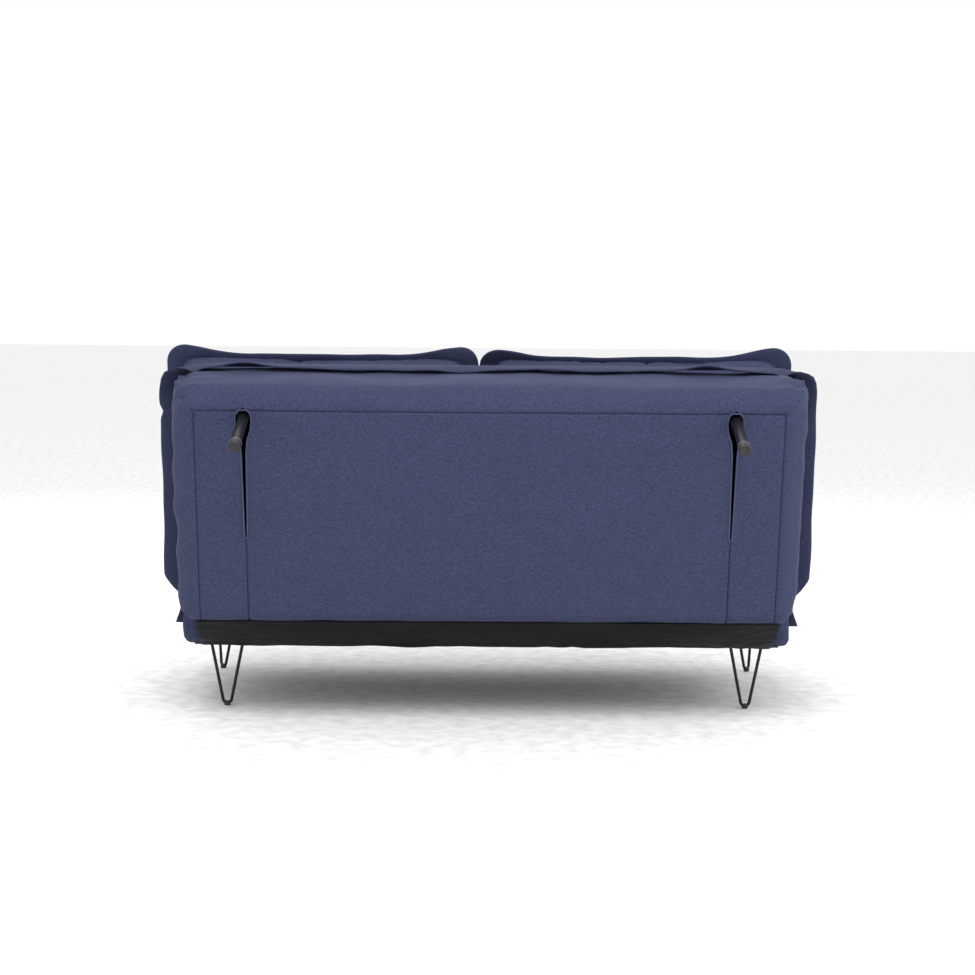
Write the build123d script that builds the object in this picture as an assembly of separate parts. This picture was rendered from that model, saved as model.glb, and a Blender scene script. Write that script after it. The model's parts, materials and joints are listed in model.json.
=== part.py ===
from build123d import *
import os
from math import asin, atan2, cos, hypot, radians, sin

# A two-seat sofa bed whose back folds down flat behind the seat.
# Millimetres. X runs left to right, the sofa faces -Y, +Z is up.
# Everything is modelled about the top rear edge of the seat, and moved at the end
# so that the origin lies on the floor under the middle of the whole sofa.
# The back is modelled lying flat, as in the bed, and then folded up.

# ---------- overall sizes ----------
seat_width = 1520
seat_depth = 680
seat_height = 400
underside = 160
back_step = 20
back_width = seat_width - 2 * back_step
back_length = 570
back_thickness = 220
recline = 13
section_gap = 12

# ---------- soft parts ----------
cover_wall = 3
seat_corner = 40
seat_edge = 28
back_corner = 45
back_rear_edge = 50
back_low_edge = 40
flange_wall = 6
seat_flange_reach = 35
seat_flange_drop = 4
seat_flange_low = 45
back_flange_reach = 52
back_flange_fold = 44
flange_start = 48
cushion_play = 24
cushion_width = back_width / 2 - cushion_play
cushion_height = 480
cushion_thickness = 170
cushion_round = 55
cushion_wall = 2
cushion_flange = 26
cushion_shift = 24
cushion_clear = 1
zip_width = 12
zip_wall = 0.5
zip_rise = 60
lining_wall = 1.8
lining_inset = 35
lining_half_width = back_width / 2 - lining_inset
hem_inset = 6
hem_drop = 4

# ---------- frame ----------
rail_width = 30
side_rail_width = 25
rear_gap = 6
back_rail_width = 25
rail_height = 40
rail_wall = 2
side_foam = 22
plug_depth = 12
plug_wall = 3
slat_width = 60
slat_wall = 8
slat_count = 13
slat_end_inset = 130
slat_span = seat_width - 2 * slat_end_inset
holder_base = 2
holder_wall = 2
holder_grip = 28
holder_fit = 0.2
back_rail_depth = 150
low_rail_start = 20
top_rail_inset = 43

# ---------- folding hinge ----------
pivot_depth = 55
pivot_end = 55
plate_wall = 5
plate_gap = 0.5
arm_half_width = 15
pivot_bolt_radius = 6
pivot_fit = 0.1
pivot_head_radius = 10
pivot_head = 6
moving_disc = 34
stop_radius = 24
stop_pin_radius = 3
stop_slot_fit = 0.5
hinge_room = 2
hinge_slot_depth = 8
hinge_slot_length = 175
hinge_pocket_run = 80
wedge_slope = 0.6
arm_run = 110
arm_rise = 2
arm_edge = 6
plate_run = 115

# ---------- legs under the seat ----------
rod_radius = 4
leg_half_spread = 39
leg_bend = 11
leg_plate_wall = 3
leg_plate_edge = 36
leg_plate_long = 124
front_plate_edge = 62
front_leg_turn = 45
front_leg_splay = 3.5
rear_leg_inset = 105
rear_leg_x = seat_width / 2 - rear_leg_inset
front_leg_inset = 62
foot_radius = 8
foot_height = 12
foot_sole = 3
leg_bolt_radius = 3
leg_bolt_fit = 0.2
leg_bolt_head = 5.5
leg_bolt_head_height = 3
leg_bolt_reach = 12

# ---------- support legs in the back ----------
support_inset = 166
support_x = back_width / 2 - support_inset
support_pivot_inset = 65
support_pivot_s = back_length - support_pivot_inset
support_pivot_depth = 170
support_angle = 5
tube_radius = 12.5
tube_wall = 2
tube_start = 12
cap_rim = 1.5
cap_radius = tube_radius + cap_rim
cap_length = 26
cap_end = 5
floor_clear = 1
slot_fit = 1
slot_low = 208
slot_high = back_length - back_rear_edge
welt_width = 3
welt_wall = 1.5
bracket_wall = 3
bracket_fit = 1
bracket_drop = 22
support_pin_radius = 4
support_pin_fit = 0.1
support_pin_head = 7
support_pin_head_wall = 2

# ---------- worked out ----------
seat_front = -seat_depth
pivot_y = section_gap + pivot_end
pivot_z = seat_height - pivot_depth
fold_angle = 90 - recline
rail_top = underside + rail_height
foam_bottom = rail_top + holder_base + slat_wall + holder_wall
rail_out_x = seat_width / 2 - cover_wall - side_foam
rail_in_x = rail_out_x - side_rail_width
rear_rail_y = -cover_wall - rear_gap - rail_width / 2
front_rail_y = seat_front + cover_wall + side_foam + rail_width / 2
side_rail_front = front_rail_y + rail_width / 2
side_rail_back = rear_rail_y - rail_width / 2
fixed_plate_x = rail_in_x - plate_wall / 2
moving_plate_x = rail_in_x - plate_wall - plate_gap - plate_wall / 2
back_rail_out_x = moving_plate_x - plate_wall / 2
slot_half = cap_radius + slot_fit
leg_top = underside - leg_plate_wall

sides = {"left": -1, "right": 1}
parts = {}


def box(x0, x1, y0, y1, z0, z1):
    """A plain block between two corners."""
    size = (abs(x1 - x0), abs(y1 - y0), abs(z1 - z0))
    return Pos((x0 + x1) / 2, (y0 + y1) / 2, (z0 + z1) / 2) * Box(*size)


def flat_box(x0, x1, s0, s1, t0, t1):
    """A block in the flat back: s runs from its lower end, t down from its sleeping face."""
    y0 = section_gap + s0
    y1 = section_gap + s1
    return box(x0, x1, y0, y1, seat_height - t1, seat_height - t0)


def rod_x(x0, x1, y, z, radius):
    """A round bar along X."""
    return Pos((x0 + x1) / 2, y, z) * Rot(0, 90, 0) * Cylinder(radius, abs(x1 - x0))


def plate_yz(x, wall, outline):
    """A flat plate that stands in the YZ plane, centred on x."""
    face = Plane.YZ * make_face(Polyline(*outline, close=True))
    return Pos(x - wall / 2, 0, 0) * extrude(face, wall)


def fold_up(shape):
    """Turn a flat piece of the back up to its sofa position."""
    return shape.rotate(Axis((0, pivot_y, pivot_z), (1, 0, 0)), fold_angle)


def seat_block(inset, low):
    """The seat's rounded block, set in from its outside by inset."""
    radius = seat_corner - inset
    plan = RectangleRounded(seat_width - 2 * inset, seat_depth - 2 * inset, radius)
    height = seat_height - inset - low
    block = Pos(0, -seat_depth / 2, low) * extrude(plan, height)
    top = block.faces().sort_by(Axis.Z)[-1]
    return fillet(top.edges(), seat_edge - inset)


def back_block(inset, low_end):
    """The back's rounded block lying flat, set in by inset, open end at low_end."""
    half = back_width / 2 - inset
    block = flat_box(-half, half, low_end, back_length - inset, inset, back_thickness - inset)
    corners = block.edges().filter_by(Axis.Z).group_by(Axis.Y)[-1]
    block = fillet(corners, back_corner - inset)
    under = block.faces().sort_by(Axis.Z)[0]
    rear = [e for e in under.edges() if e.center().Y > section_gap + low_end + 1]
    block = fillet(rear, back_rear_edge - inset)
    low = block.edges().filter_by(Axis.X).filter_by(lambda e: e.center().Y < section_gap + low_end + 1)
    return fillet(low.sort_by(Axis.Z)[-1], back_low_edge - inset)


def tube_rail(along, length, width):
    """A box-section rail with its middle at the origin, along X or Y."""
    outer = (length, width) if along == "x" else (width, length)
    gap = 2 * rail_wall
    inner = (length + gap, width - gap) if along == "x" else (width - gap, length + gap)
    return Box(*outer, rail_height) - Box(*inner, rail_height - gap)


def leg_places():
    """Each leg's name, place, turn and outward splay."""
    front_y = side_rail_front + front_leg_inset
    side_x = (rail_out_x + rail_in_x) / 2
    places = []
    for side, sign in sides.items():
        places.append((f"leg_rear_{side}", sign * rear_leg_x, rear_rail_y, 0, 0, False))
        turn = -sign * front_leg_turn
        places.append((f"leg_front_{side}", sign * side_x, front_y, turn, sign * front_leg_splay, True))
    return places


def leg_bolt_places(x, y, is_front):
    """The two bolts of a leg plate."""
    reach = leg_plate_long / 2 - 2 * leg_bolt_head + leg_bolt_radius
    if is_front:
        return [(x, y - reach), (x, y + reach)]
    return [(x - reach, y), (x + reach, y)]


def bolt_holes(depth):
    """All leg bolt holes, from below the plates up to depth above the underside."""
    radius = leg_bolt_radius + leg_bolt_fit
    holes = []
    for name, x, y, turn, splay, is_front in leg_places():
        for bx, by in leg_bolt_places(x, y, is_front):
            height = leg_plate_wall + depth
            holes.append(Pos(bx, by, leg_top + height / 2) * Cylinder(radius, height))
    return holes


def seat_rails():
    """Four box-section rails; the long ones run the full width and end in plugs."""
    middle = underside + rail_height / 2
    holes = bolt_holes(rail_wall + 1)
    long = 2 * rail_out_x
    parts["seat_rail_rear"] = Pos(0, rear_rail_y, middle) * tube_rail("x", long, rail_width) - holes
    parts["seat_rail_front"] = Pos(0, front_rail_y, middle) * tube_rail("x", long, rail_width)
    length = side_rail_back - side_rail_front
    width = rail_out_x - rail_in_x
    for side, sign in sides.items():
        place = Pos(sign * (rail_out_x - width / 2), side_rail_front + length / 2, middle)
        parts[f"seat_rail_{side}"] = place * tube_rail("y", length, width) - holes
    plugs = []
    for y in (rear_rail_y, front_rail_y):
        for sign in (-1, 1):
            outer = rail_width - 2 * rail_wall
            tall = rail_height - 2 * rail_wall
            x_end = sign * rail_out_x
            x_in = sign * (rail_out_x - plug_depth)
            body = box(x_in, x_end, y - outer / 2, y + outer / 2, middle - tall / 2, middle + tall / 2)
            core = Pos(sign * (rail_out_x - plug_wall - plug_depth / 2), y, middle)
            body -= core * Box(plug_depth, outer - 2 * plug_wall, tall - 2 * plug_wall)
            plugs.append(body)
    parts["rail_end_plugs"] = Compound(children=plugs)


def slat_centres():
    """Slat middles across the width."""
    pitch = slat_span / (slat_count - 1)
    return [-slat_span / 2 + i * pitch for i in range(slat_count)]


def slat_row(y0, y1, z0):
    """Slats that lie across two rails, each end in a holder. y0 and y1 are the holders' ends."""
    slats = []
    holders = []
    low = z0 + holder_base
    for x in slat_centres():
        end = holder_wall
        slat = box(x - slat_width / 2, x + slat_width / 2, y0 + end, y1 - end, low, low + slat_wall)
        slats.append(slat)
        half = slat_width / 2 + holder_wall
        fit = holder_fit
        room = box(x - slat_width / 2 - fit, x + slat_width / 2 + fit, y0 + end - fit, y1 - end + fit,
                   low, low + slat_wall)
        for a, b in ((y0, y0 + holder_grip), (y1 - holder_grip, y1)):
            holders.append(box(x - half, x + half, a, b, z0, low + slat_wall + holder_wall) - room)
    return Compound(children=slats), Compound(children=holders)


def seat_slats():
    """Sprung slats from the front rail to the rear rail."""
    rows = slat_row(front_rail_y - rail_width / 2 + 1, rear_rail_y + rail_width / 2 - 1, rail_top)
    parts["seat_slats"], parts["seat_slat_holders"] = rows


def fixed_arm_outline():
    """The seat's hinge arm: along the side rail, over the rear rail and up to the pivot."""
    low = underside + arm_edge
    run = side_rail_back - arm_rise
    over = rail_top + arm_rise
    boss = 2 * arm_half_width
    return [(run - arm_run, low), (run, low), (run, over), (rear_rail_y + rail_width / 2, over),
            (pivot_y + arm_half_width, pivot_z - arm_half_width), (pivot_y, pivot_z),
            (pivot_y - arm_half_width, pivot_z + arm_edge), (run - boss, over), (run - arm_run, rail_top - arm_edge)]


def hinge_parts():
    """On each side: a fixed arm, a moving plate, the pivot bolt, its nut and the stop pin."""
    bolts = []
    nuts = []
    stops = []
    stop_y = pivot_y - stop_radius
    for side, sign in sides.items():
        fixed_x = sign * fixed_plate_x
        moving_x = sign * moving_plate_x
        arm = plate_yz(fixed_x, plate_wall, fixed_arm_outline())
        boss = rod_x(fixed_x - plate_wall / 2, fixed_x + plate_wall / 2, pivot_y, pivot_z, 2 * arm_half_width)
        reach = 4 * plate_wall
        bore = rod_x(fixed_x - reach, fixed_x + reach, pivot_y, pivot_z, pivot_bolt_radius)
        stop_bore = rod_x(fixed_x - reach, fixed_x + reach, stop_y, pivot_z, stop_pin_radius)
        parts[f"hinge_arm_{side}"] = arm + boss - bore - stop_bore

        s0 = section_gap + pivot_end
        z_rail = seat_height - back_rail_depth
        z_low = z_rail - rail_height + arm_edge
        outline = [(s0 - moving_disc, pivot_z), (s0 + moving_disc, pivot_z), (s0 + plate_run, z_rail - arm_edge),
                   (s0 + plate_run, z_low), (s0 + arm_edge, z_low)]
        plate = plate_yz(moving_x, plate_wall, outline)
        disc = rod_x(moving_x - plate_wall / 2, moving_x + plate_wall / 2, pivot_y, pivot_z, moving_disc)
        hole = rod_x(moving_x - reach, moving_x + reach, pivot_y, pivot_z, pivot_bolt_radius + pivot_fit)
        parts[f"hinge_plate_{side}"] = fold_up(plate + disc - hole - stop_slot(moving_x))

        outer = sign * (fixed_plate_x + plate_wall / 2)
        inner = sign * (moving_plate_x - plate_wall / 2 - plate_gap)
        head_end = outer + sign * pivot_head
        nut_end = inner - sign * pivot_head
        head = rod_x(outer, head_end, pivot_y, pivot_z, pivot_head_radius)
        bolts.append(head + rod_x(outer, nut_end, pivot_y, pivot_z, pivot_bolt_radius))
        nut = Pos((inner + nut_end) / 2, pivot_y, pivot_z) * Rot(0, 90, 0)
        nut *= extrude(RegularPolygon(pivot_head_radius, 6), pivot_head / 2, both=True)
        nuts.append(nut - rod_x(inner, nut_end, pivot_y, pivot_z, pivot_bolt_radius))
        stops.append(rod_x(outer, inner, stop_y, pivot_z, stop_pin_radius))
    parts["hinge_bolts"] = Compound(children=bolts)
    parts["hinge_nuts"] = Compound(children=nuts)
    parts["hinge_stop_pins"] = Compound(children=stops)


def stop_slot(x):
    """The curved slot that the stop pin runs in while the back folds, cut in the flat plate."""
    half = stop_pin_radius + stop_slot_fit
    ring = Circle(stop_radius + half) - Circle(stop_radius - half)
    ring = Plane.YZ * ring
    ring = extrude(ring, 2 * plate_wall, both=True)
    far = 3 * stop_radius
    turned = radians(180 - fold_angle)
    wedge = [(0, 0), (-far, 0), (-far, far * wedge_slope), (far * cos(turned), far * sin(turned))]
    face = Plane.YZ * make_face(Polyline(*wedge, close=True))
    slot = ring & extrude(face, 2 * plate_wall, both=True)
    for angle in (180, 180 - fold_angle):
        y = stop_radius * cos(radians(angle))
        z = stop_radius * sin(radians(angle))
        slot += rod_x(-2 * plate_wall, 2 * plate_wall, y, z, half)
    return Pos(x, pivot_y, pivot_z) * slot


def hairpin(turn, splay):
    """A bent rod with straight sides, standing on z = foot_sole under the origin."""
    centre = foot_sole + rod_radius + leg_bend
    top = leg_top + leg_plate_wall / 2
    slope = atan2(leg_half_spread, top - centre) - asin(leg_bend / hypot(leg_half_spread, top - centre))
    apex = centre - leg_bend / sin(slope)
    path = FilletPolyline((-leg_half_spread, 0, top), (0, 0, apex), (leg_half_spread, 0, top), radius=leg_bend)
    section = Plane(origin=path @ 0, z_dir=path % 0) * Circle(rod_radius)
    rod = sweep(section, path=path)
    rod = Rot(0, 0, turn) * rod
    return rod.rotate(Axis((0, 0, top), (0, 1, 0)), -splay)


def seat_legs():
    """Four welded hairpin legs on plates, with their sole pads and bolts."""
    feet = []
    bolts = []
    holes = bolt_holes(rail_wall + 1)
    for name, x, y, turn, splay, is_front in leg_places():
        rod = Pos(x, y, 0) * hairpin(turn, splay)
        across = (front_plate_edge, leg_plate_long) if is_front else (leg_plate_long, leg_plate_edge)
        plate = Pos(x, y, leg_top + leg_plate_wall / 2) * Box(*across, leg_plate_wall)
        above = Pos(x, y, underside + seat_depth / 2) * Box(seat_depth, seat_depth, seat_depth)
        leg = plate + rod - above - holes
        parts[name] = leg
        foot_x = x + sin(radians(splay)) * (leg_top - foot_sole)
        foot = Pos(foot_x, y, foot_height / 2) * Cylinder(foot_radius, foot_height)
        foot = fillet(foot.edges(), foot_sole)
        feet.append((foot - rod).solids().sort_by(SortBy.VOLUME)[-1])
        for bx, by in leg_bolt_places(x, y, is_front):
            head = Pos(bx, by, leg_top - leg_bolt_head_height / 2) * Cylinder(leg_bolt_head, leg_bolt_head_height)
            shank = Pos(bx, by, leg_top + leg_bolt_reach / 2) * Cylinder(leg_bolt_radius, leg_bolt_reach)
            bolts.append(head + shank)
    parts["leg_sole_pads"] = Compound(children=feet)
    parts["leg_bolts"] = Compound(children=bolts)


def seat_soft_parts():
    """Foam, side foam, cover, loose flange and the black lining under the frame."""
    pocket_x = (rail_in_x - plate_wall - 1, rail_in_x + 1)
    low = box(-seat_width, seat_width, 2 * seat_front, seat_depth, -seat_height, foam_bottom)
    foam = seat_block(cover_wall, underside) - low
    cover = seat_block(0, underside) - seat_block(cover_wall, underside)
    side = seat_block(cover_wall, underside) & low
    side -= box(-rail_out_x, rail_out_x, front_rail_y - rail_width / 2, 0, 0, seat_height)
    for sign in (-1, 1):
        slot = box(sign * pocket_x[0], sign * pocket_x[1], side_rail_back - hinge_pocket_run, 1, rail_top, pivot_z)
        foam -= slot
        cover -= slot
    parts["seat_foam"] = foam
    parts["seat_cover"] = cover
    front = box(-seat_width, seat_width, 2 * seat_front, front_rail_y - rail_width / 2, 0, seat_height)
    parts["seat_front_foam"] = side & front
    for name, sign in sides.items():
        beside = box(0, sign * seat_width, front_rail_y - rail_width / 2, 0, 0, seat_height)
        parts[f"seat_side_foam_{name}"] = side & beside

    plan = RectangleRounded(seat_width + 2 * seat_flange_reach, seat_depth + 2 * seat_flange_reach,
                            seat_corner + seat_flange_reach)
    ring = plan - RectangleRounded(seat_width, seat_depth, seat_corner)
    z0 = seat_height - seat_edge - seat_flange_drop + cover_wall
    rim = Pos(0, -seat_depth / 2, z0) * extrude(ring, flange_wall)
    end = -seat_corner
    rim -= box(-seat_width, seat_width, end, seat_depth, 0, seat_height)
    out_x = seat_width / 2 + seat_flange_reach
    for sign in (-1, 1):
        rim += box(sign * seat_width / 2, sign * out_x, end - flange_wall, end,
                   underside + seat_flange_low, z0 + flange_wall)
    parts["seat_flange"] = rim

    edge = rail_out_x
    sheet = box(-edge, edge, front_rail_y - rail_width / 2, 0 - cover_wall, underside - lining_wall, underside)
    for name, x, y, turn, splay, is_front in leg_places():
        across = (front_plate_edge, leg_plate_long) if is_front else (leg_plate_long, leg_plate_edge)
        sheet -= Pos(x, y, underside) * Box(across[0] + 4, across[1] + 4, 4 * leg_plate_wall)
    parts["base_lining"] = max(sheet.solids(), key=lambda solid: solid.volume)


def hinge_lining():
    """The gathered black lining between the back's lower hem and the seat's rear edge."""
    hem = fold_up(Pos(0, section_gap, seat_height - back_thickness) * Box(1, 1, 1)).center()
    top = (hem.Y - hem_inset, hem.Z - hem_drop)
    low = (lining_wall, underside + lining_wall)
    wall = 2 * lining_wall
    outline = [low, top, (top[0] + wall, top[1] - wall), (low[0] + wall, low[1] - 2 * lining_wall)]
    parts["hinge_lining"] = plate_yz(0, 2 * lining_half_width, outline)


def back_frame():
    """Rails, slats and holders inside the back."""
    half = back_rail_out_x
    t0 = back_rail_depth
    z = seat_height - t0 - rail_height / 2
    top_s = back_length - top_rail_inset
    low_y = section_gap + low_rail_start + back_rail_width / 2
    top_y = section_gap + top_s + back_rail_width / 2
    parts["back_rail_low"] = fold_up(Pos(0, low_y, z) * tube_rail("x", 2 * half, back_rail_width))
    parts["back_rail_top"] = fold_up(Pos(0, top_y, z) * tube_rail("x", 2 * half, back_rail_width))
    length = top_y - low_y - back_rail_width
    for side, sign in sides.items():
        place = Pos(sign * (half - back_rail_width / 2), (low_y + top_y) / 2, z)
        parts[f"back_rail_{side}"] = fold_up(place * tube_rail("y", length, back_rail_width))
    tall = holder_base + slat_wall + holder_wall
    y0 = low_y - back_rail_width / 2 + 1
    y1 = top_y + back_rail_width / 2 - 1
    slats, holders = slat_row(y0, y1, seat_height - t0)
    parts["back_slats"] = fold_up(slats)
    parts["back_slat_holders"] = fold_up(holders)
    return t0 - tall


def back_soft_parts(slab_depth):
    """Foam slab, edge foam, cover, rear panel with its two slits, welts and loose flange."""
    far = back_width
    hinge_x = (moving_plate_x - plate_wall - pivot_head - hinge_room, rail_in_x + pivot_head + hinge_room)
    core = back_block(cover_wall, 0)
    skin = back_block(0, 0) - core
    slab = core & flat_box(-far, far, -1, 2 * back_length, 0, slab_depth)
    edge = core & flat_box(-far, far, -1, 2 * back_length, slab_depth, 2 * back_thickness)
    top_s = back_length - top_rail_inset + back_rail_width
    inner = back_rail_out_x
    edge -= flat_box(-inner, inner, -1, top_s, 0, 2 * back_thickness)
    for sign in (-1, 1):
        room = flat_box(sign * hinge_x[0], sign * hinge_x[1], -1, hinge_slot_length,
                        hinge_slot_depth, back_rail_depth + rail_height)
        slab -= room
        edge -= room
        skin -= room
    parts["back_foam"] = fold_up(slab)
    parts["back_top_foam"] = fold_up(edge & flat_box(-far, far, top_s, 2 * back_length, 0, 2 * back_thickness))
    for name, sign in sides.items():
        beside = flat_box(0, sign * far, -1, top_s, 0, 2 * back_thickness)
        parts[f"back_side_foam_{name}"] = fold_up(edge & beside)

    flat_x = back_width / 2 - back_rear_edge
    window = flat_box(-flat_x, flat_x, -1, back_length - back_rear_edge, back_thickness - cover_wall,
                      back_thickness + 1)
    panel = skin & window
    cover = skin - window
    welts = []
    for sign in (-1, 1):
        hole = slit(sign * support_x, slot_half, back_thickness - 4 * cover_wall, back_thickness + 4 * cover_wall)
        panel -= hole
        rim = slit(sign * support_x, slot_half + welt_width, back_thickness, back_thickness + welt_wall)
        welts.append(rim - hole)
    parts["back_cover"] = fold_up(cover)
    parts["back_rear_panel"] = fold_up(panel)
    parts["slit_welts"] = Compound(children=[fold_up(welt) for welt in welts])

    out_x = back_width / 2 + back_flange_reach
    plan_y = section_gap + back_length / 2
    seam = seat_height - cover_wall - 1
    plan = RectangleRounded(2 * out_x, back_length + 2 * flange_wall, back_corner)
    plan -= RectangleRounded(back_width, back_length, back_corner)
    rim = Pos(0, plan_y, seam - flange_wall) * extrude(plan, flange_wall)
    rim -= flat_box(-out_x - 1, out_x + 1, -back_length, flange_start, -seat_height, seat_height)
    fold = flat_box(-back_width / 2 + back_corner, back_width / 2 - back_corner, back_length,
                    back_length + flange_wall, cover_wall + 1, cover_wall + 1 + back_flange_fold)
    parts["back_flange"] = fold_up(rim + fold)


def slit(x, half, t0, t1):
    """The outline of a slit that a support leg swings through, round at both ends."""
    length = slot_high - slot_low
    length += 2 * (half - slot_half)
    plan = RectangleRounded(2 * half, length, half - slot_fit)
    z = seat_height - t1
    return Pos(x, section_gap + (slot_low + slot_high) / 2, z) * extrude(plan, t1 - t0)


def support_legs():
    """On each side a tube with a cap, hung on a pin in a bracket under the back's top rail."""
    pivot = (section_gap + support_pivot_s, seat_height - support_pivot_depth)
    length = pivot[1] - floor_clear
    rail_face = section_gap + back_length - top_rail_inset
    cheek = tube_radius + bracket_fit
    pins = []
    for side, sign in sides.items():
        x = sign * support_x
        web = box(x - cheek - bracket_wall, x + cheek + bracket_wall, rail_face - bracket_wall, rail_face,
                  pivot[1] - rail_height / 2 + 4, pivot[1] + rail_height / 2 - 4)
        bracket = web
        for outward in (-1, 1):
            bracket += box(x + outward * cheek, x + outward * (cheek + bracket_wall),
                           pivot[0] - bracket_drop / 2, rail_face,
                           pivot[1] - bracket_drop / 2, pivot[1] + bracket_drop / 2)
        reach = cheek + bracket_wall
        pin = rod_x(x - reach, x + reach, *pivot, support_pin_radius)
        bracket -= pin
        for outward in (-1, 1):
            end = x + outward * (reach + support_pin_head_wall)
            pin += rod_x(x + outward * reach, end, *pivot, support_pin_head)
        pins.append(fold_up(pin))
        parts[f"support_bracket_{side}"] = fold_up(bracket)

        run = length - tube_start - cap_end
        tube = Pos(x, pivot[0], pivot[1] + tube_start - (run + 2 * tube_start) / 2)
        outer = tube * Cylinder(tube_radius, run + 2 * tube_start)
        inner = tube * Cylinder(tube_radius - tube_wall, run + 4 * tube_start)
        hole = rod_x(x - 2 * reach, x + 2 * reach, *pivot, support_pin_radius + support_pin_fit)
        tube_solid = outer - inner - hole
        cap_z = pivot[1] - length + cap_length / 2
        cap = Pos(x, pivot[0], cap_z) * Cylinder(cap_radius, cap_length)
        low_edge = cap.edges().filter_by(GeomType.CIRCLE).sort_by(Axis.Z)[0]
        cap = fillet(low_edge, 2) - outer
        swing = Axis((0, pivot[0], pivot[1]), (1, 0, 0))
        parts[f"support_tube_{side}"] = fold_up(tube_solid.rotate(swing, -support_angle))
        parts[f"support_cap_{side}"] = fold_up(cap.rotate(swing, -support_angle))
    parts["support_pins"] = Compound(children=pins)
    return pivot


def cushions():
    """Two loose back cushions that stand on the seat and lean on the back."""
    lean = radians(recline)
    # the back's sleeping face at the seat's height, once folded up
    rise = seat_height + cushion_clear
    edge = fold_up(Pos(0, section_gap, seat_height) * Box(1, 1, 1)).center()
    foot_y = edge.Y + (rise - edge.Z) * sin(lean) / cos(lean) - cushion_clear / cos(lean)
    plane = Plane(origin=(0, foot_y, rise), x_dir=(1, 0, 0), z_dir=(0, -cos(lean), sin(lean)))
    seat_cut = box(-seat_width, seat_width, -2 * seat_depth, seat_depth, 0, rise)
    step = cushion_width / 2 + cushion_flange + cushion_clear / 2
    for side, sign in sides.items():
        x = sign * step + cushion_shift
        outer = cushion_body(plane, x, 0) - seat_cut
        inner = cushion_body(plane, x, cushion_wall)
        inner -= Pos(0, 0, cushion_wall) * seat_cut
        parts[f"cushion_filling_{side}"] = inner
        parts[f"cushion_cover_{side}"] = outer - inner
        low = cushion_round
        tall = cushion_height + cushion_flange - low
        plan = Pos(x, low + tall / 2) * Rectangle(cushion_width + 2 * cushion_flange, tall)
        plan = fillet(plan.vertices().group_by(Axis.Y)[-1], cushion_round)
        strip = extrude(plane * plan, flange_wall)
        strip = strip.moved(Location(plane.z_dir * (cushion_thickness / 2 - flange_wall / 2)))
        parts[f"cushion_flange_{side}"] = strip - outer - inner
        tape = Pos(x, zip_rise) * Rectangle(cushion_width - 4 * cushion_round, zip_width)
        tape = extrude(plane * tape, -zip_wall)
        parts[f"cushion_zip_{side}"] = tape


def cushion_body(plane, x, inset):
    """A rounded block on the leaning plane, its foot below the seat so that it can be cut level."""
    low = -cushion_thickness / 2
    tall = cushion_height - inset - low
    plan = Pos(x, low + tall / 2) * Rectangle(cushion_width - 2 * inset, tall)
    plan = fillet(plan.vertices().group_by(Axis.Y)[-1], cushion_round - inset)
    body = extrude(plane * plan, cushion_thickness - 2 * inset)
    body = body.moved(Location(plane.z_dir * inset))
    longest = [e for e in body.edges() if abs((e % 0.5).dot(plane.z_dir)) < 0.1]
    keep = [e for e in longest if (e.center() - plane.origin).dot(plane.y_dir) > low + 1]
    return fillet(keep, cushion_round - inset - 1)


seat_rails()
seat_slats()
hinge_parts()
seat_legs()
seat_soft_parts()
hinge_lining()
slab_depth = back_frame()
back_soft_parts(slab_depth)
support_pivot = support_legs()
cushions()

# ---------- origin under the middle, and one file for each piece ----------
lows = [shape.bounding_box().min.Y for shape in parts.values()]
highs = [shape.bounding_box().max.Y for shape in parts.values()]
shift = -(min(lows) + max(highs)) / 2
os.makedirs("parts", exist_ok=True)
for name, shape in parts.items():
    solids = [Pos(0, shift, 0) * solid for solid in shape.solids()]
    whole = solids[0] if len(solids) == 1 else Compound(children=solids)
    whole.label = name
    export_step(whole, f"parts/{name}.step")
folded = fold_up(Pos(0, support_pivot[0], support_pivot[1]) * Box(1, 1, 1)).center()
print("shift", shift)
print("fold pivot", pivot_y + shift, pivot_z, "fold angle", fold_angle)
print("support leg pivot", folded.Y + shift, folded.Z)
print("foot", rear_leg_x, rear_rail_y + shift)
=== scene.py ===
"""Looks of a two-seat sofa bed: covers, loose flanges, cushions, linings, finishes and studio."""
import json
import logging
import math
from contextlib import contextmanager
from dataclasses import dataclass
from enum import Enum
from typing import Callable, Iterable, Iterator, Sequence

import bmesh
import bpy
import numpy as np
from mathutils import Matrix, Vector
from mathutils.bvhtree import BVHTree


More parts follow.
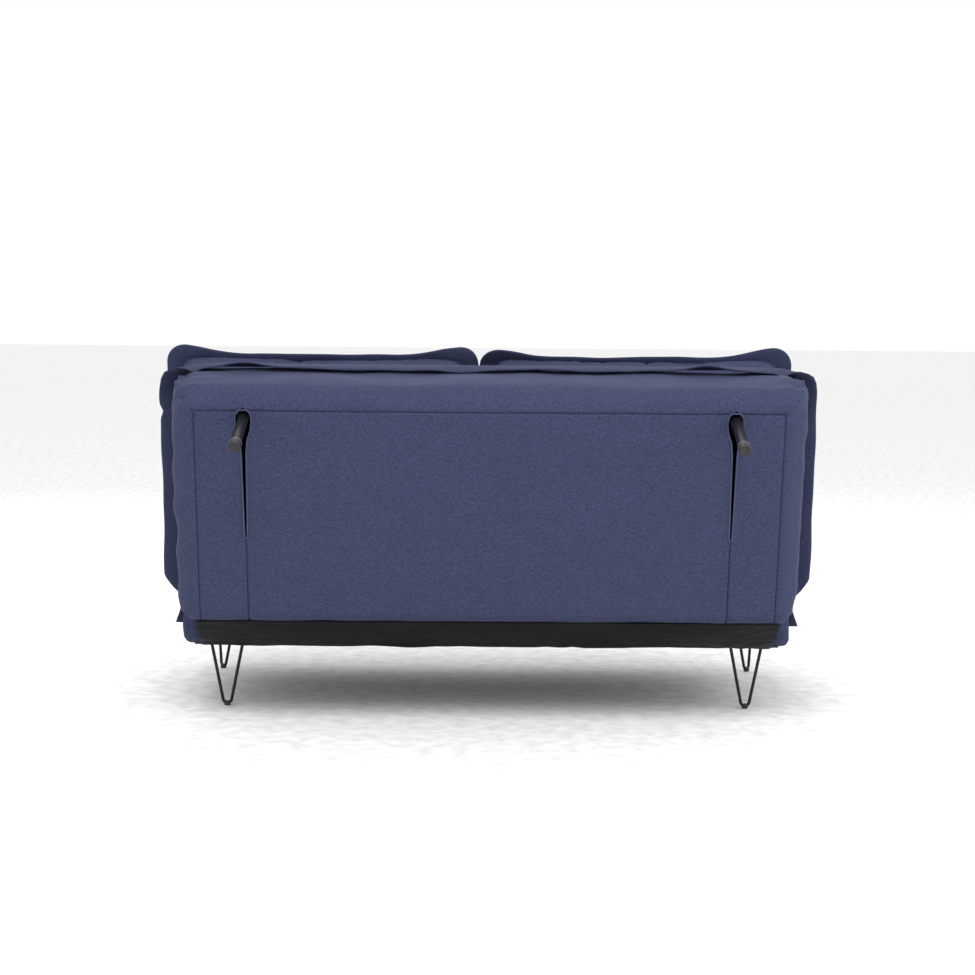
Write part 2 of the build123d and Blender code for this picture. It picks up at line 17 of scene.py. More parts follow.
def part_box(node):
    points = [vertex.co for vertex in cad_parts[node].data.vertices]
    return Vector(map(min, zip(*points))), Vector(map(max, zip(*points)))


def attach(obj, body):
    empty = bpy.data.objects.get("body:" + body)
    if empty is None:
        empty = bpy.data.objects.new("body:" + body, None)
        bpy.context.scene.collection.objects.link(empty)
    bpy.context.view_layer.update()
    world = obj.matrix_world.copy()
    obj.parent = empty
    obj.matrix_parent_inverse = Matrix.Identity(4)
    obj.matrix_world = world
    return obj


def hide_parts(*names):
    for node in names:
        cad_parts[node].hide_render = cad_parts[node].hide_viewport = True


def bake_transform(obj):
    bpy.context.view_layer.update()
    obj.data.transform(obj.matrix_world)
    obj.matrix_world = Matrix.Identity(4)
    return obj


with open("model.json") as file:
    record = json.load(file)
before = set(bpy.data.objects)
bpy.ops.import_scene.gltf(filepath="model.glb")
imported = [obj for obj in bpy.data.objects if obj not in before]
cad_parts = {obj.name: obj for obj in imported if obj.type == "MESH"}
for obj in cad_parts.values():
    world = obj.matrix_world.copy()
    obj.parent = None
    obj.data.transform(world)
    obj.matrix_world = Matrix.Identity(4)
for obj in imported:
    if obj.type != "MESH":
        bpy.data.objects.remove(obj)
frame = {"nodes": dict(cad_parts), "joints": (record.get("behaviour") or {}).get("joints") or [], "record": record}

LOG = logging.getLogger("sofa_bed")
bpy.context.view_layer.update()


class Fill(Enum):
    """How tightly a padded piece is stuffed."""

    FOAM = 0.85
    LOOSE = 0.6


@dataclass(frozen=True)
class Grid:
    """Lines that cut one side of a box into a net."""

    low: float
    high: float
    step: float

    def lines(self, fine: Iterable[float] = (), round_low: float = 0.0, round_high: float = 0.0) -> np.ndarray:
        """Even lines with closer ones over the rounded ends and at named places.

        Args:
            fine: extra places that need a line.
            round_low: length of the rounded stretch at the low end.
            round_high: length of the rounded stretch at the high end.

        Returns:
            Sorted places of the lines.
        """
        count = max(2, round((self.high - self.low) / self.step))
        places = list(np.linspace(self.low, self.high, count + 1))
        turn = np.tan(np.linspace(0, math.pi / 4, 6))
        places += [self.low + round_low * (1 - t) for t in turn if round_low]
        places += [self.high - round_high * (1 - t) for t in turn if round_high]
        fixed = [self.low, self.high, *fine]
        close = 0.45 * min(self.step, 0.004)
        kept = [p for p in places if min(abs(p - f) for f in fixed) > close and self.low < p < self.high]
        merged: list[float] = []
        for place in sorted(fixed + kept):
            if not merged or place - merged[-1] > 1e-5:
                merged.append(place)
        return np.array(merged)


@dataclass(frozen=True)
class BackAxes:
    """The back's own axes: x across, s up from its lower end, t in from its sleeping face."""

    pivot_y: float
    pivot_z: float
    lean: float = math.radians(13)
    pivot_end: float = 0.055
    pivot_depth: float = 0.055

    def directions(self) -> np.ndarray:
        """Rows are the world directions of x, s and t."""
        c, s = math.cos(self.lean), math.sin(self.lean)
        return np.array([[1, 0, 0], [0, s, c], [0, c, -s]])

    def place(self, local: np.ndarray) -> np.ndarray:
        """World points of local (x, s, t) points."""
        moved = local - np.array([0, self.pivot_end, self.pivot_depth])
        return moved @ self.directions() + np.array([0, self.pivot_y, self.pivot_z])


def waves(points: np.ndarray, size: float, seed: int, stretch: Sequence[float] = (1, 1, 1)) -> np.ndarray:
    """Smooth noise made of plane waves, about -1 to 1.

    Args:
        points: places, one row each.
        size: usual length of a wave.
        seed: fixed seed.
        stretch: how much longer the waves are along each axis.

    Returns:
        One value for each place.
    """
    rng = np.random.default_rng(seed)
    count = 16
    heading = rng.normal(size=(count, 3))
    heading /= np.linalg.norm(heading, axis=1, keepdims=True)
    heading /= np.array(stretch)
    rate = 2 * math.pi / size * rng.uniform(0.6, 1.6, count)
    phase = rng.uniform(0, 2 * math.pi, count)
    return np.sin(points @ (heading * rate[:, None]).T + phase).sum(axis=1) / math.sqrt(count)


def grid_shell(xs: np.ndarray, ys: np.ndarray, zs: np.ndarray,
               skip: Callable[[int, int, np.ndarray], bool]) -> tuple[np.ndarray, list[tuple[int, ...]]]:
    """A box's surface as a net of quads with outward faces.

    Args:
        xs: lines along the first axis.
        ys: lines along the second axis.
        zs: lines along the third axis.
        skip: says whether a face is left out, from its axis, side and centre.

    Returns:
        Points and faces.
    """
    lines = (xs, ys, zs)
    index: dict[tuple[int, int, int], int] = {}
    points: list[tuple[float, float, float]] = []
    faces: list[tuple[int, ...]] = []

    def corner(key: tuple[int, int, int]) -> int:
        """Number of the net's point at these three line numbers."""
        if key not in index:
            index[key] = len(points)
            points.append(tuple(lines[a][key[a]] for a in range(3)))
        return index[key]

    for axis in range(3):
        u, v = (axis + 1) % 3, (axis + 2) % 3
        for side in (0, 1):
            fixed = 0 if side == 0 else len(lines[axis]) - 1
            for i in range(len(lines[u]) - 1):
                for j in range(len(lines[v]) - 1):
                    centre = np.zeros(3)
                    centre[axis] = lines[axis][fixed]
                    centre[u] = (lines[u][i] + lines[u][i + 1]) / 2
                    centre[v] = (lines[v][j] + lines[v][j + 1]) / 2
                    if skip(axis, side, centre):
                        continue
                    ring = []
                    for a, b in ((i, j), (i + 1, j), (i + 1, j + 1), (i, j + 1)):
                        key = [0, 0, 0]
                        key[axis], key[u], key[v] = fixed, a, b
                        ring.append(corner(tuple(key)))
                    faces.append(tuple(ring if side else reversed(ring)))
    return np.array(points), faces


def round_box(points: np.ndarray, low: np.ndarray, high: np.ndarray, r_low: np.ndarray,
              r_high: np.ndarray) -> tuple[np.ndarray, np.ndarray]:
    """Moves points on a box onto the same box with rounded edges.

    Args:
        points: points on the box.
        low: its low corner.
        high: its high corner.
        r_low: radii towards the low corner, one row or one for each point.
        r_high: the same towards the high corner.

    Returns:
        Rounded points and their outward normals.
    """
    core = np.clip(points, low + r_low, high - r_high)
    radius = np.where(points < core, r_low, r_high)
    away = (points - core) / radius
    away /= np.maximum(np.linalg.norm(away, axis=1, keepdims=True), 1e-9)
    normal = away / radius
    normal /= np.maximum(np.linalg.norm(normal, axis=1, keepdims=True), 1e-9)
    return core + radius * away, normal


def add_object(name: str, data: bpy.types.ID) -> bpy.types.Object:
    """Links a new object that holds this data, at the origin.

    Args:
        name: the object's name.
        data: its mesh, camera or lamp.

    Returns:
        The object.
    """
    made = bpy.data.objects.new(name, data)
    bpy.context.scene.collection.objects.link(made)
    return made


@contextmanager
def editing(piece: bpy.types.Object) -> Iterator[bmesh.types.BMesh]:
    """Opens a piece's mesh for editing and writes it back with all faces turned outwards.

    Args:
        piece: the piece.

    Yields:
        The mesh being edited.
    """
    net = bmesh.new()
    net.from_mesh(piece.data)
    yield net
    bmesh.ops.recalc_face_normals(net, faces=net.faces)
    net.to_mesh(piece.data)
    net.free()


def make_mesh(name: str, points: np.ndarray, faces: list[tuple[int, ...]],
              smooth: bool = True) -> bpy.types.Object:
    """A linked mesh object at the origin.

    Args:
        name: the piece's name.
        points: its points in metres.
        faces: its faces.
        smooth: whether it is shaded smooth.

    Returns:
        The object.
    """
    mesh = bpy.data.meshes.new(name)
    mesh.from_pydata([tuple(p) for p in points], [], faces)
    mesh.validate()
    mesh.shade_smooth() if smooth else mesh.shade_flat()
    return add_object(name, mesh)


def strip_faces(columns: int, rows: int) -> list[tuple[int, ...]]:
    """Faces of an open net of columns and rows of points."""
    return [(i * rows + j, i * rows + j + 1, (i + 1) * rows + j + 1, (i + 1) * rows + j)
            for i in range(columns - 1) for j in range(rows - 1)]


def sink_pocket(net: bmesh.types.BMesh, edges: list[bmesh.types.BMEdge], depth: float) -> None:
    """Carries open edges straight in along y and closes them there.

    Args:
        net: the mesh being edited.
        edges: the open edges.
        depth: the y at which the pocket ends.
    """
    made = bmesh.ops.extrude_edge_only(net, edges=edges)["geom"]
    ends = [g for g in made if isinstance(g, bmesh.types.BMEdge) and g.is_boundary]
    for v in {v for e in ends for v in e.verts}:
        v.co.y = depth
    bmesh.ops.holes_fill(net, edges=ends, sides=0)


def loft(name: str, rings: np.ndarray, closed: bool) -> bpy.types.Object:
    """A skin over a row of rings, with its ends closed unless the row is a loop.

    Args:
        name: the piece's name.
        rings: array of ring, point, coordinate.
        closed: whether the last ring joins the first.

    Returns:
        The object, with its faces outwards.
    """
    count, size = rings.shape[:2]
    faces: list[tuple[int, ...]] = []
    for i in range(count if closed else count - 1):
        a, b = i * size, ((i + 1) % count) * size
        faces += [(a + j, a + (j + 1) % size, b + (j + 1) % size, b + j) for j in range(size)]
    if not closed:
        faces.append(tuple(reversed(range(size))))
        faces.append(tuple((count - 1) * size + j for j in range(size)))
    piece = make_mesh(name, rings.reshape(-1, 3), faces)
    with editing(piece):
        pass  # closing the edit turns the faces outwards
    return piece


def cord_loop(name: str, route: np.ndarray, radius: float, sides: int = 8) -> bpy.types.Object:
    """A thin round cord along a closed route.

    Args:
        name: the piece's name.
        route: points along its middle.
        radius: its radius.
        sides: points in each ring.

    Returns:
        The cord.
    """
    ahead = np.roll(route, -1, axis=0) - np.roll(route, 1, axis=0)
    ahead /= np.linalg.norm(ahead, axis=1, keepdims=True)
    first = np.cross(ahead, np.array([0, 1.0, 0]))
    first /= np.maximum(np.linalg.norm(first, axis=1, keepdims=True), 1e-9)
    second = np.cross(ahead, first)
    turn = np.linspace(0, 2 * math.pi, sides, endpoint=False)[None, :, None]
    rings = route[:, None] + radius * (np.cos(turn) * first[:, None] + np.sin(turn) * second[:, None])
    return loft(name, rings, True)


def turned(name: str, start: np.ndarray, axis: np.ndarray, profile: Sequence[tuple[float, float]],
           sides: int = 40) -> bpy.types.Object:
    """A turned piece from pairs of distance along its axis and radius.

    Args:
        name: the piece's name.
        start: where its axis starts.
        axis: the axis's direction, square to x.
        profile: pairs of distance and radius.
        sides: points in each ring.

    Returns:
        The turned piece.
    """
    across = np.array([1.0, 0, 0])
    second = np.cross(axis, across)
    turn = np.linspace(0, 2 * math.pi, sides, endpoint=False)[:, None]
    rings = [start + d * axis + r * (np.cos(turn) * across + np.sin(turn) * second) for d, r in profile]
    return loft(name, np.array(rings), False)


# ---------- finishes ----------

def new_group(name: str, inputs: dict[str, str], outputs: dict[str, str]) -> bpy.types.NodeTree:
    """A shader node group with named sockets.

    Args:
        name: the group's name.
        inputs: socket kinds by input name.
        outputs: socket kinds by output name.

    Returns:
        The group's tree.
    """
    tree = bpy.data.node_groups.new(name, "ShaderNodeTree")
    for label, kind in inputs.items():
        tree.interface.new_socket(label, in_out="INPUT", socket_type=kind)
    for label, kind in outputs.items():
        tree.interface.new_socket(label, in_out="OUTPUT", socket_type=kind)
    return tree


def math_node(tree: bpy.types.NodeTree, operation: str, a: object, b: object) -> bpy.types.NodeSocket:
    """The result of a Math node whose inputs are sockets or numbers."""
    node = tree.nodes.new("ShaderNodeMath")
    node.operation = operation
    for place, value in enumerate((a, b)):
        if isinstance(value, (int, float)):
            node.inputs[place].default_value = value
        else:
            tree.links.new(value, node.inputs[place])
    return node.outputs[0]


def stretched_noise(tree: bpy.types.NodeTree, coords: bpy.types.NodeSocket, scale: Sequence[float],
                    detail: float) -> bpy.types.NodeSocket:
    """Noise whose grains are longer along some axes.

    Args:
        tree: the tree to add to.
        coords: object coordinates.
        scale: grains for each metre along each axis.
        detail: the noise's detail.

    Returns:
        The noise's value, 0 to 1.
    """
    mapping = tree.nodes.new("ShaderNodeMapping")
    mapping.inputs["Scale"].default_value = scale
    noise = tree.nodes.new("ShaderNodeTexNoise")
    noise.inputs["Scale"].default_value = 1.0
    noise.inputs["Detail"].default_value = detail
    tree.links.new(coords, mapping.inputs["Vector"])
    tree.links.new(mapping.outputs[0], noise.inputs["Vector"])
    return noise.outputs["Fac"]


def weave_group() -> bpy.types.NodeTree:
    """Crossed threads with slubs: a shade multiplier and a height."""
    tree = new_group("woven_threads", {"Vector": "NodeSocketVector", "Contrast": "NodeSocketFloat"},
                     {"Shade": "NodeSocketFloat", "Height": "NodeSocketFloat"})
    inside = tree.nodes.new("NodeGroupInput")
    outside = tree.nodes.new("NodeGroupOutput")
    coords = inside.outputs["Vector"]
    warp = stretched_noise(tree, coords, (620, 620, 110), 3)
    weft = stretched_noise(tree, coords, (110, 620, 620), 3)
    slub_weft = stretched_noise(tree, coords, (240, 640, 640), 2)
    slub_warp = stretched_noise(tree, coords, (640, 640, 240), 2)
    slub = math_node(tree, "MULTIPLY", math_node(tree, "ADD", slub_weft, slub_warp), 0.5)
    cloud = stretched_noise(tree, coords, (7, 7, 7), 3)
    threads = math_node(tree, "ADD", warp, weft)
    fine = math_node(tree, "ADD", threads, slub)
    centred = math_node(tree, "SUBTRACT", fine, 1.5)
    spread = math_node(tree, "MULTIPLY", centred, inside.outputs["Contrast"])
    patch = math_node(tree, "MULTIPLY", math_node(tree, "SUBTRACT", cloud, 0.5), 0.12)
    shade = math_node(tree, "ADD", math_node(tree, "ADD", spread, patch), 1.0)
    tree.links.new(shade, outside.inputs["Shade"])
    tree.links.new(threads, outside.inputs["Height"])
    return tree


def wear_group() -> bpy.types.NodeTree:
    """Fine grain and slow blotches for painted metal, plastic and wood."""
    tree = new_group("surface_grain", {"Vector": "NodeSocketVector", "Grain": "NodeSocketFloat"},
                     {"Blotch": "NodeSocketFloat", "Height": "NodeSocketFloat"})
    inside = tree.nodes.new("NodeGroupInput")
    outside = tree.nodes.new("NodeGroupOutput")
    grain = stretched_noise(tree, inside.outputs["Vector"], (900, 900, 900), 2)
    blotch = stretched_noise(tree, inside.outputs["Vector"], (24, 24, 24), 4)
    tree.links.new(math_node(tree, "MULTIPLY", grain, inside.outputs["Grain"]), outside.inputs["Height"])
    tree.links.new(blotch, outside.inputs["Blotch"])
    return tree


WEAVE = weave_group()
GRAIN = wear_group()


@dataclass(frozen=True)
class Finish:
    """A finish with a grain or weave group, a colour spread, a roughness and a bump."""

    name: str
    colour: tuple[float, float, float]
    roughness: float
    bump: float
    woven: bool = False
    contrast: float = 0.6
    metallic: float = 0.0
    sheen: float = 0.0
    coat: float = 0.0
    specular: float = 0.5

    def material(self) -> bpy.types.Material:
        """The finish's node material, made once."""
        if self.name in bpy.data.materials:
            return bpy.data.materials[self.name]
        made = bpy.data.materials.new(self.name)
        made.use_nodes = True
        tree = made.node_tree
        shader = tree.nodes["Principled BSDF"]
        coords = tree.nodes.new("ShaderNodeTexCoord").outputs["Object"]
        group = tree.nodes.new("ShaderNodeGroup")
        group.node_tree = WEAVE if self.woven else GRAIN
        group.inputs[1].default_value = self.contrast
        tree.links.new(coords, group.inputs["Vector"])
        value = group.outputs["Shade" if self.woven else "Blotch"]
        ramp = tree.nodes.new("ShaderNodeMapRange")
        ramp.inputs["From Min"].default_value = 0.6 if self.woven else 0.3
        ramp.inputs["From Max"].default_value = 1.4 if self.woven else 0.7
        tree.links.new(value, ramp.inputs["Value"])
        mix = tree.nodes.new("ShaderNodeMix")
        mix.data_type = "RGBA"
        tree.links.new(ramp.outputs[0], mix.inputs["Factor"])
        spread = 0.42 if self.woven else 0.15
        mix.inputs["A"].default_value = (*[c * (1 - spread) for c in self.colour], 1)
        mix.inputs["B"].default_value = (*[min(1, c * (1 + spread)) for c in self.colour], 1)
        tree.links.new(mix.outputs["Result"], shader.inputs["Base Color"])
        bump = tree.nodes.new("ShaderNodeBump")
        bump.inputs["Strength"].default_value = self.bump
        bump.inputs["Distance"].default_value = 0.0006
        tree.links.new(group.outputs["Height"], bump.inputs["Height"])
        tree.links.new(bump.outputs["Normal"], shader.inputs["Normal"])
        shader.inputs["Roughness"].default_value = self.roughness
        shader.inputs["Metallic"].default_value = self.metallic
        shader.inputs["Coat Weight"].default_value = self.coat
        shader.inputs["Specular IOR Level"].default_value = self.specular
        if self.sheen:
            shader.inputs["Sheen Weight"].default_value = self.sheen
            shader.inputs["Sheen Roughness"].default_value = 0.5
            shader.inputs["Sheen Tint"].default_value = (0.55, 0.6, 0.8, 1)
        return made


NAVY = (0.036, 0.0425, 0.092)
LINEN = Finish("navy_linen", NAVY, 0.9, 0.5, woven=True, contrast=1.2, sheen=0.05, specular=0.25)
WELT_LINEN = Finish("navy_linen_welt", (0.055, 0.065, 0.13), 0.85, 0.3, woven=True, sheen=0.1, specular=0.3)
# The flanges are the cover's own navy linen; this darker copy of it is painted shade for the flanges.
SHADED_FLANGE_LINEN = Finish("navy_linen_edge_painted_shade", (0.031, 0.037, 0.079), 0.92, 0.5, woven=True, contrast=0.9,
                      sheen=0.03, specular=0.2)
SATIN = Finish("black_satin_lining", (0.0035, 0.0035, 0.0048), 0.46, 0.2, woven=True, contrast=0.4,
               specular=0.12)
THREAD = Finish("dark_thread", (0.008, 0.010, 0.022), 0.8, 0.1, woven=True, specular=0.1)
COLLAR = Finish("worn_collar_ring", (0.16, 0.16, 0.17), 0.35, 0.2, metallic=0.6)
FINISHES = {
    "frame_steel": Finish("black_box_steel", (0.03, 0.03, 0.033), 0.45, 0.3, metallic=0.2),
    "hinge_steel": Finish("black_plate_steel", (0.04, 0.04, 0.045), 0.4, 0.3, metallic=0.3),
    "leg_steel": Finish("black_rod_enamel", (0.005, 0.005, 0.007), 0.38, 0.35, specular=0.3),
    "tube_steel": Finish("black_tube_enamel", (0.004, 0.005, 0.008), 0.42, 0.3, specular=0.3),
    "fastener_steel": Finish("zinc_bolts", (0.5, 0.5, 0.52), 0.32, 0.2, metallic=1.0),
    "holder_plastic": Finish("black_holder_plastic", (0.02, 0.02, 0.02), 0.55, 0.5),
    "cap_plastic": Finish("grey_cap_plastic", (0.022, 0.021, 0.023), 0.5, 0.6, specular=0.4),
    "slat_wood": Finish("birch_plywood", (0.6, 0.42, 0.24), 0.5, 0.4, coat=0.1),
    "foam": Finish("cream_foam", (0.7, 0.66, 0.5), 0.95, 0.8),
    "zip_tape": Finish("dark_zip_tape", (0.02, 0.024, 0.045), 0.7, 0.4, woven=True),
    "black_lining": SATIN,
    "panel_fabric": LINEN,
    "cover_fabric": LINEN,
    "cushion_fabric": LINEN,
    # flange slot: the darker copy of the linen, painted shade
    "flange_fabric": SHADED_FLANGE_LINEN,
}


def dress(piece: bpy.types.Object, finish: Finish, body: str | None, slot: str, *nodes: str) -> None:
    """Gives a made piece its finish and body, and hides the nodes it stands for.

    Args:
        piece: the piece.
        finish: its finish.
        body: the body it rides on, or None where it is left on no body.
        slot: the record's material slot; not used.
        nodes: the nodes that it replaces.
    """
    piece.data.materials.clear()
    piece.data.materials.append(finish.material())
    if body:
        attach(piece, body)
    if nodes:
        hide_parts(*nodes)
    LOG.info("%s: %d faces", piece.name, len(piece.data.polygons))


# ---------- loose flanges ----------

@dataclass
class Flange:
    """A loose double-cloth edge that stands out from a seam."""

    name: str
    width: float
    wall: float = 0.0055
    ripple: float = 0.22
    wave: float = 0.16
    seed: int = 1

    def build(self, base: np.ndarray, outward: np.ndarray, face: np.ndarray, droop: np.ndarray,
              reach: np.ndarray, closed: bool = False) -> bpy.types.Object:
        """Sweeps the flange along its seam.

        Args:
            base: seam points.
            outward: unit directions away from the seam.
            face: unit directions square to the flange.
            droop: angle by which each section turns from outward towards face, in radians.
            reach: share of the full width at each point.
            closed: whether the seam is a loop.

        Returns:
            The flange.
        """
        run = np.concatenate([[0], np.cumsum(np.linalg.norm(np.diff(base, axis=0), axis=1))])
        along = np.stack([run, run * 0, run * 0], axis=1)
        small = 0.5 * waves(along, 0.4 * self.wave, self.seed + 1)
        tip = self.ripple * (waves(along, self.wave, self.seed) + small)
        root = 0.3 * self.ripple * waves(along, 0.3, self.seed + 2)
        stations = np.array([-0.12, 0.0, 0.14, 0.2, 0.26, 0.45, 0.65, 0.82, 0.93, 1.0])
        bulge = np.array([0.6, 0.75, 0.9, 0.55, 0.95, 1.15, 1.2, 1.15, 0.9, 0.3])
        edge = 1 + 0.05 * waves(along, 0.6 * self.wave, self.seed + 3)
        rings = []
        for i in range(len(base)):
            middle, spine = base[i].copy(), []
            last = stations[0]
            for station in stations:
                angle = droop[i] * min(1, 0.6 + 1.2 * station) + root[i] + tip[i] * max(0, station) ** 1.5
                heading = math.cos(angle) * outward[i] + math.sin(angle) * face[i]
                middle = middle + heading * (station - last) * self.width * reach[i] * edge[i]
                side = -math.sin(angle) * outward[i] + math.cos(angle) * face[i]
                spine.append((middle.copy(), side))
                last = station
            shift = spine[0][0] - spine[1][0]
            upper = [p + shift + q * self.wall * b / 2 for (p, q), b in zip(spine, bulge)]
            lower = [p + shift - q * self.wall * b / 2 for (p, q), b in zip(spine, bulge)]
            rings.append(upper + lower[::-1])
        return loft(self.name, np.array(rings), closed)


def rounded_path(half_x: float, low: float, high: float, radius: float,
                 step: float) -> tuple[np.ndarray, np.ndarray]:
    """A path up one side, over a rounded corner, along the top and down the other side.

    Args:
        half_x: half the width.
        low: where the sides start.
        high: the top.
        radius: the corners' radius.
        step: spacing of the points.

    Returns:
        Points and outward directions, two coordinates each.
    """
    points: list[tuple[float, float]] = []
    out: list[tuple[float, float]] = []
    for value in np.arange(low, high - radius, step):
        points.append((half_x, value))
        out.append((1, 0))
    for angle in np.linspace(0, math.pi / 2, 9):
        c, s = math.cos(angle), math.sin(angle)
        points.append((half_x - radius + radius * c, high - radius + radius * s))
        out.append((c, s))
    for value in np.arange(half_x - radius - step, 0, -step):
        points.append((value, high))
        out.append((0, 1))
    mirror = [(-x, y) for x, y in reversed(points)]
    mirror_out = [(-x, y) for x, y in reversed(out)]
    return np.array(points + mirror), np.array(out + mirror_out)


# ---------- stitches ----------

@dataclass
class StitchRow:
    """A row of short stitches laid along a seam by geometry nodes."""

    name: str
    pitch: float = 0.0065
    length: float = 0.0042
    thread: float = 0.0009

    def build(self, route: np.ndarray, body: str, slot: str) -> bpy.types.Object:
        """Lays the stitches and turns them into a plain mesh.

        Args:
            route: points along the seam.
            body: the body they ride on.
            slot: the record's material slot.

        Returns:
            The stitches.
        """
        edges = [(i, i + 1) for i in range(len(route) - 1)]
        mesh = bpy.data.meshes.new(self.name)
        mesh.from_pydata([tuple(p) for p in route], edges, [])
        line = add_object(self.name + "_line", mesh)
        tree = bpy.data.node_groups.new(self.name, "GeometryNodeTree")
        face = tree.interface
        face.new_socket("Geometry", in_out="INPUT", socket_type="NodeSocketGeometry")
        sizes = {"Pitch": self.pitch, "Length": self.length, "Thread": self.thread}
        sockets = {key: face.new_socket(key, in_out="INPUT", socket_type="NodeSocketFloat") for key in sizes}
        face.new_socket("Geometry", in_out="OUTPUT", socket_type="NodeSocketGeometry")
        inside, outside = tree.nodes.new("NodeGroupInput"), tree.nodes.new("NodeGroupOutput")
        curve = tree.nodes.new("GeometryNodeMeshToCurve")
        spaced = tree.nodes.new("GeometryNodeCurveToPoints")
        spaced.mode = "LENGTH"
        bead = tree.nodes.new("GeometryNodeMeshCylinder")
        bead.inputs["Vertices"].default_value = 6
        put = tree.nodes.new("GeometryNodeInstanceOnPoints")
        real = tree.nodes.new("GeometryNodeRealizeInstances")
        paint = tree.nodes.new("GeometryNodeSetMaterial")
        paint.inputs["Material"].default_value = THREAD.material()
        join = tree.links.new
        join(inside.outputs["Geometry"], curve.inputs["Mesh"])
        join(curve.outputs[0], spaced.inputs["Curve"])
        join(inside.outputs["Pitch"], spaced.inputs["Length"])
        join(inside.outputs["Length"], bead.inputs["Depth"])
        join(inside.outputs["Thread"], bead.inputs["Radius"])
        join(spaced.outputs["Points"], put.inputs["Points"])
        join(spaced.outputs["Rotation"], put.inputs["Rotation"])
        join(bead.outputs["Mesh"], put.inputs["Instance"])
        join(put.outputs[0], real.inputs[0])
        join(real.outputs[0], paint.inputs["Geometry"])
        join(paint.outputs[0], outside.inputs[0])
        layer = line.modifiers.new("stitches", "NODES")
        layer.node_group = tree
        for key, value in sizes.items():
            layer[sockets[key].identifier] = value
        ready = line.evaluated_get(bpy.context.evaluated_depsgraph_get())
        made = bpy.data.meshes.new_from_object(ready)
        row = add_object(self.name, made)
        bpy.data.objects.remove(line)
        dress(row, THREAD, body, slot)
        return row


# ---------- the back ----------

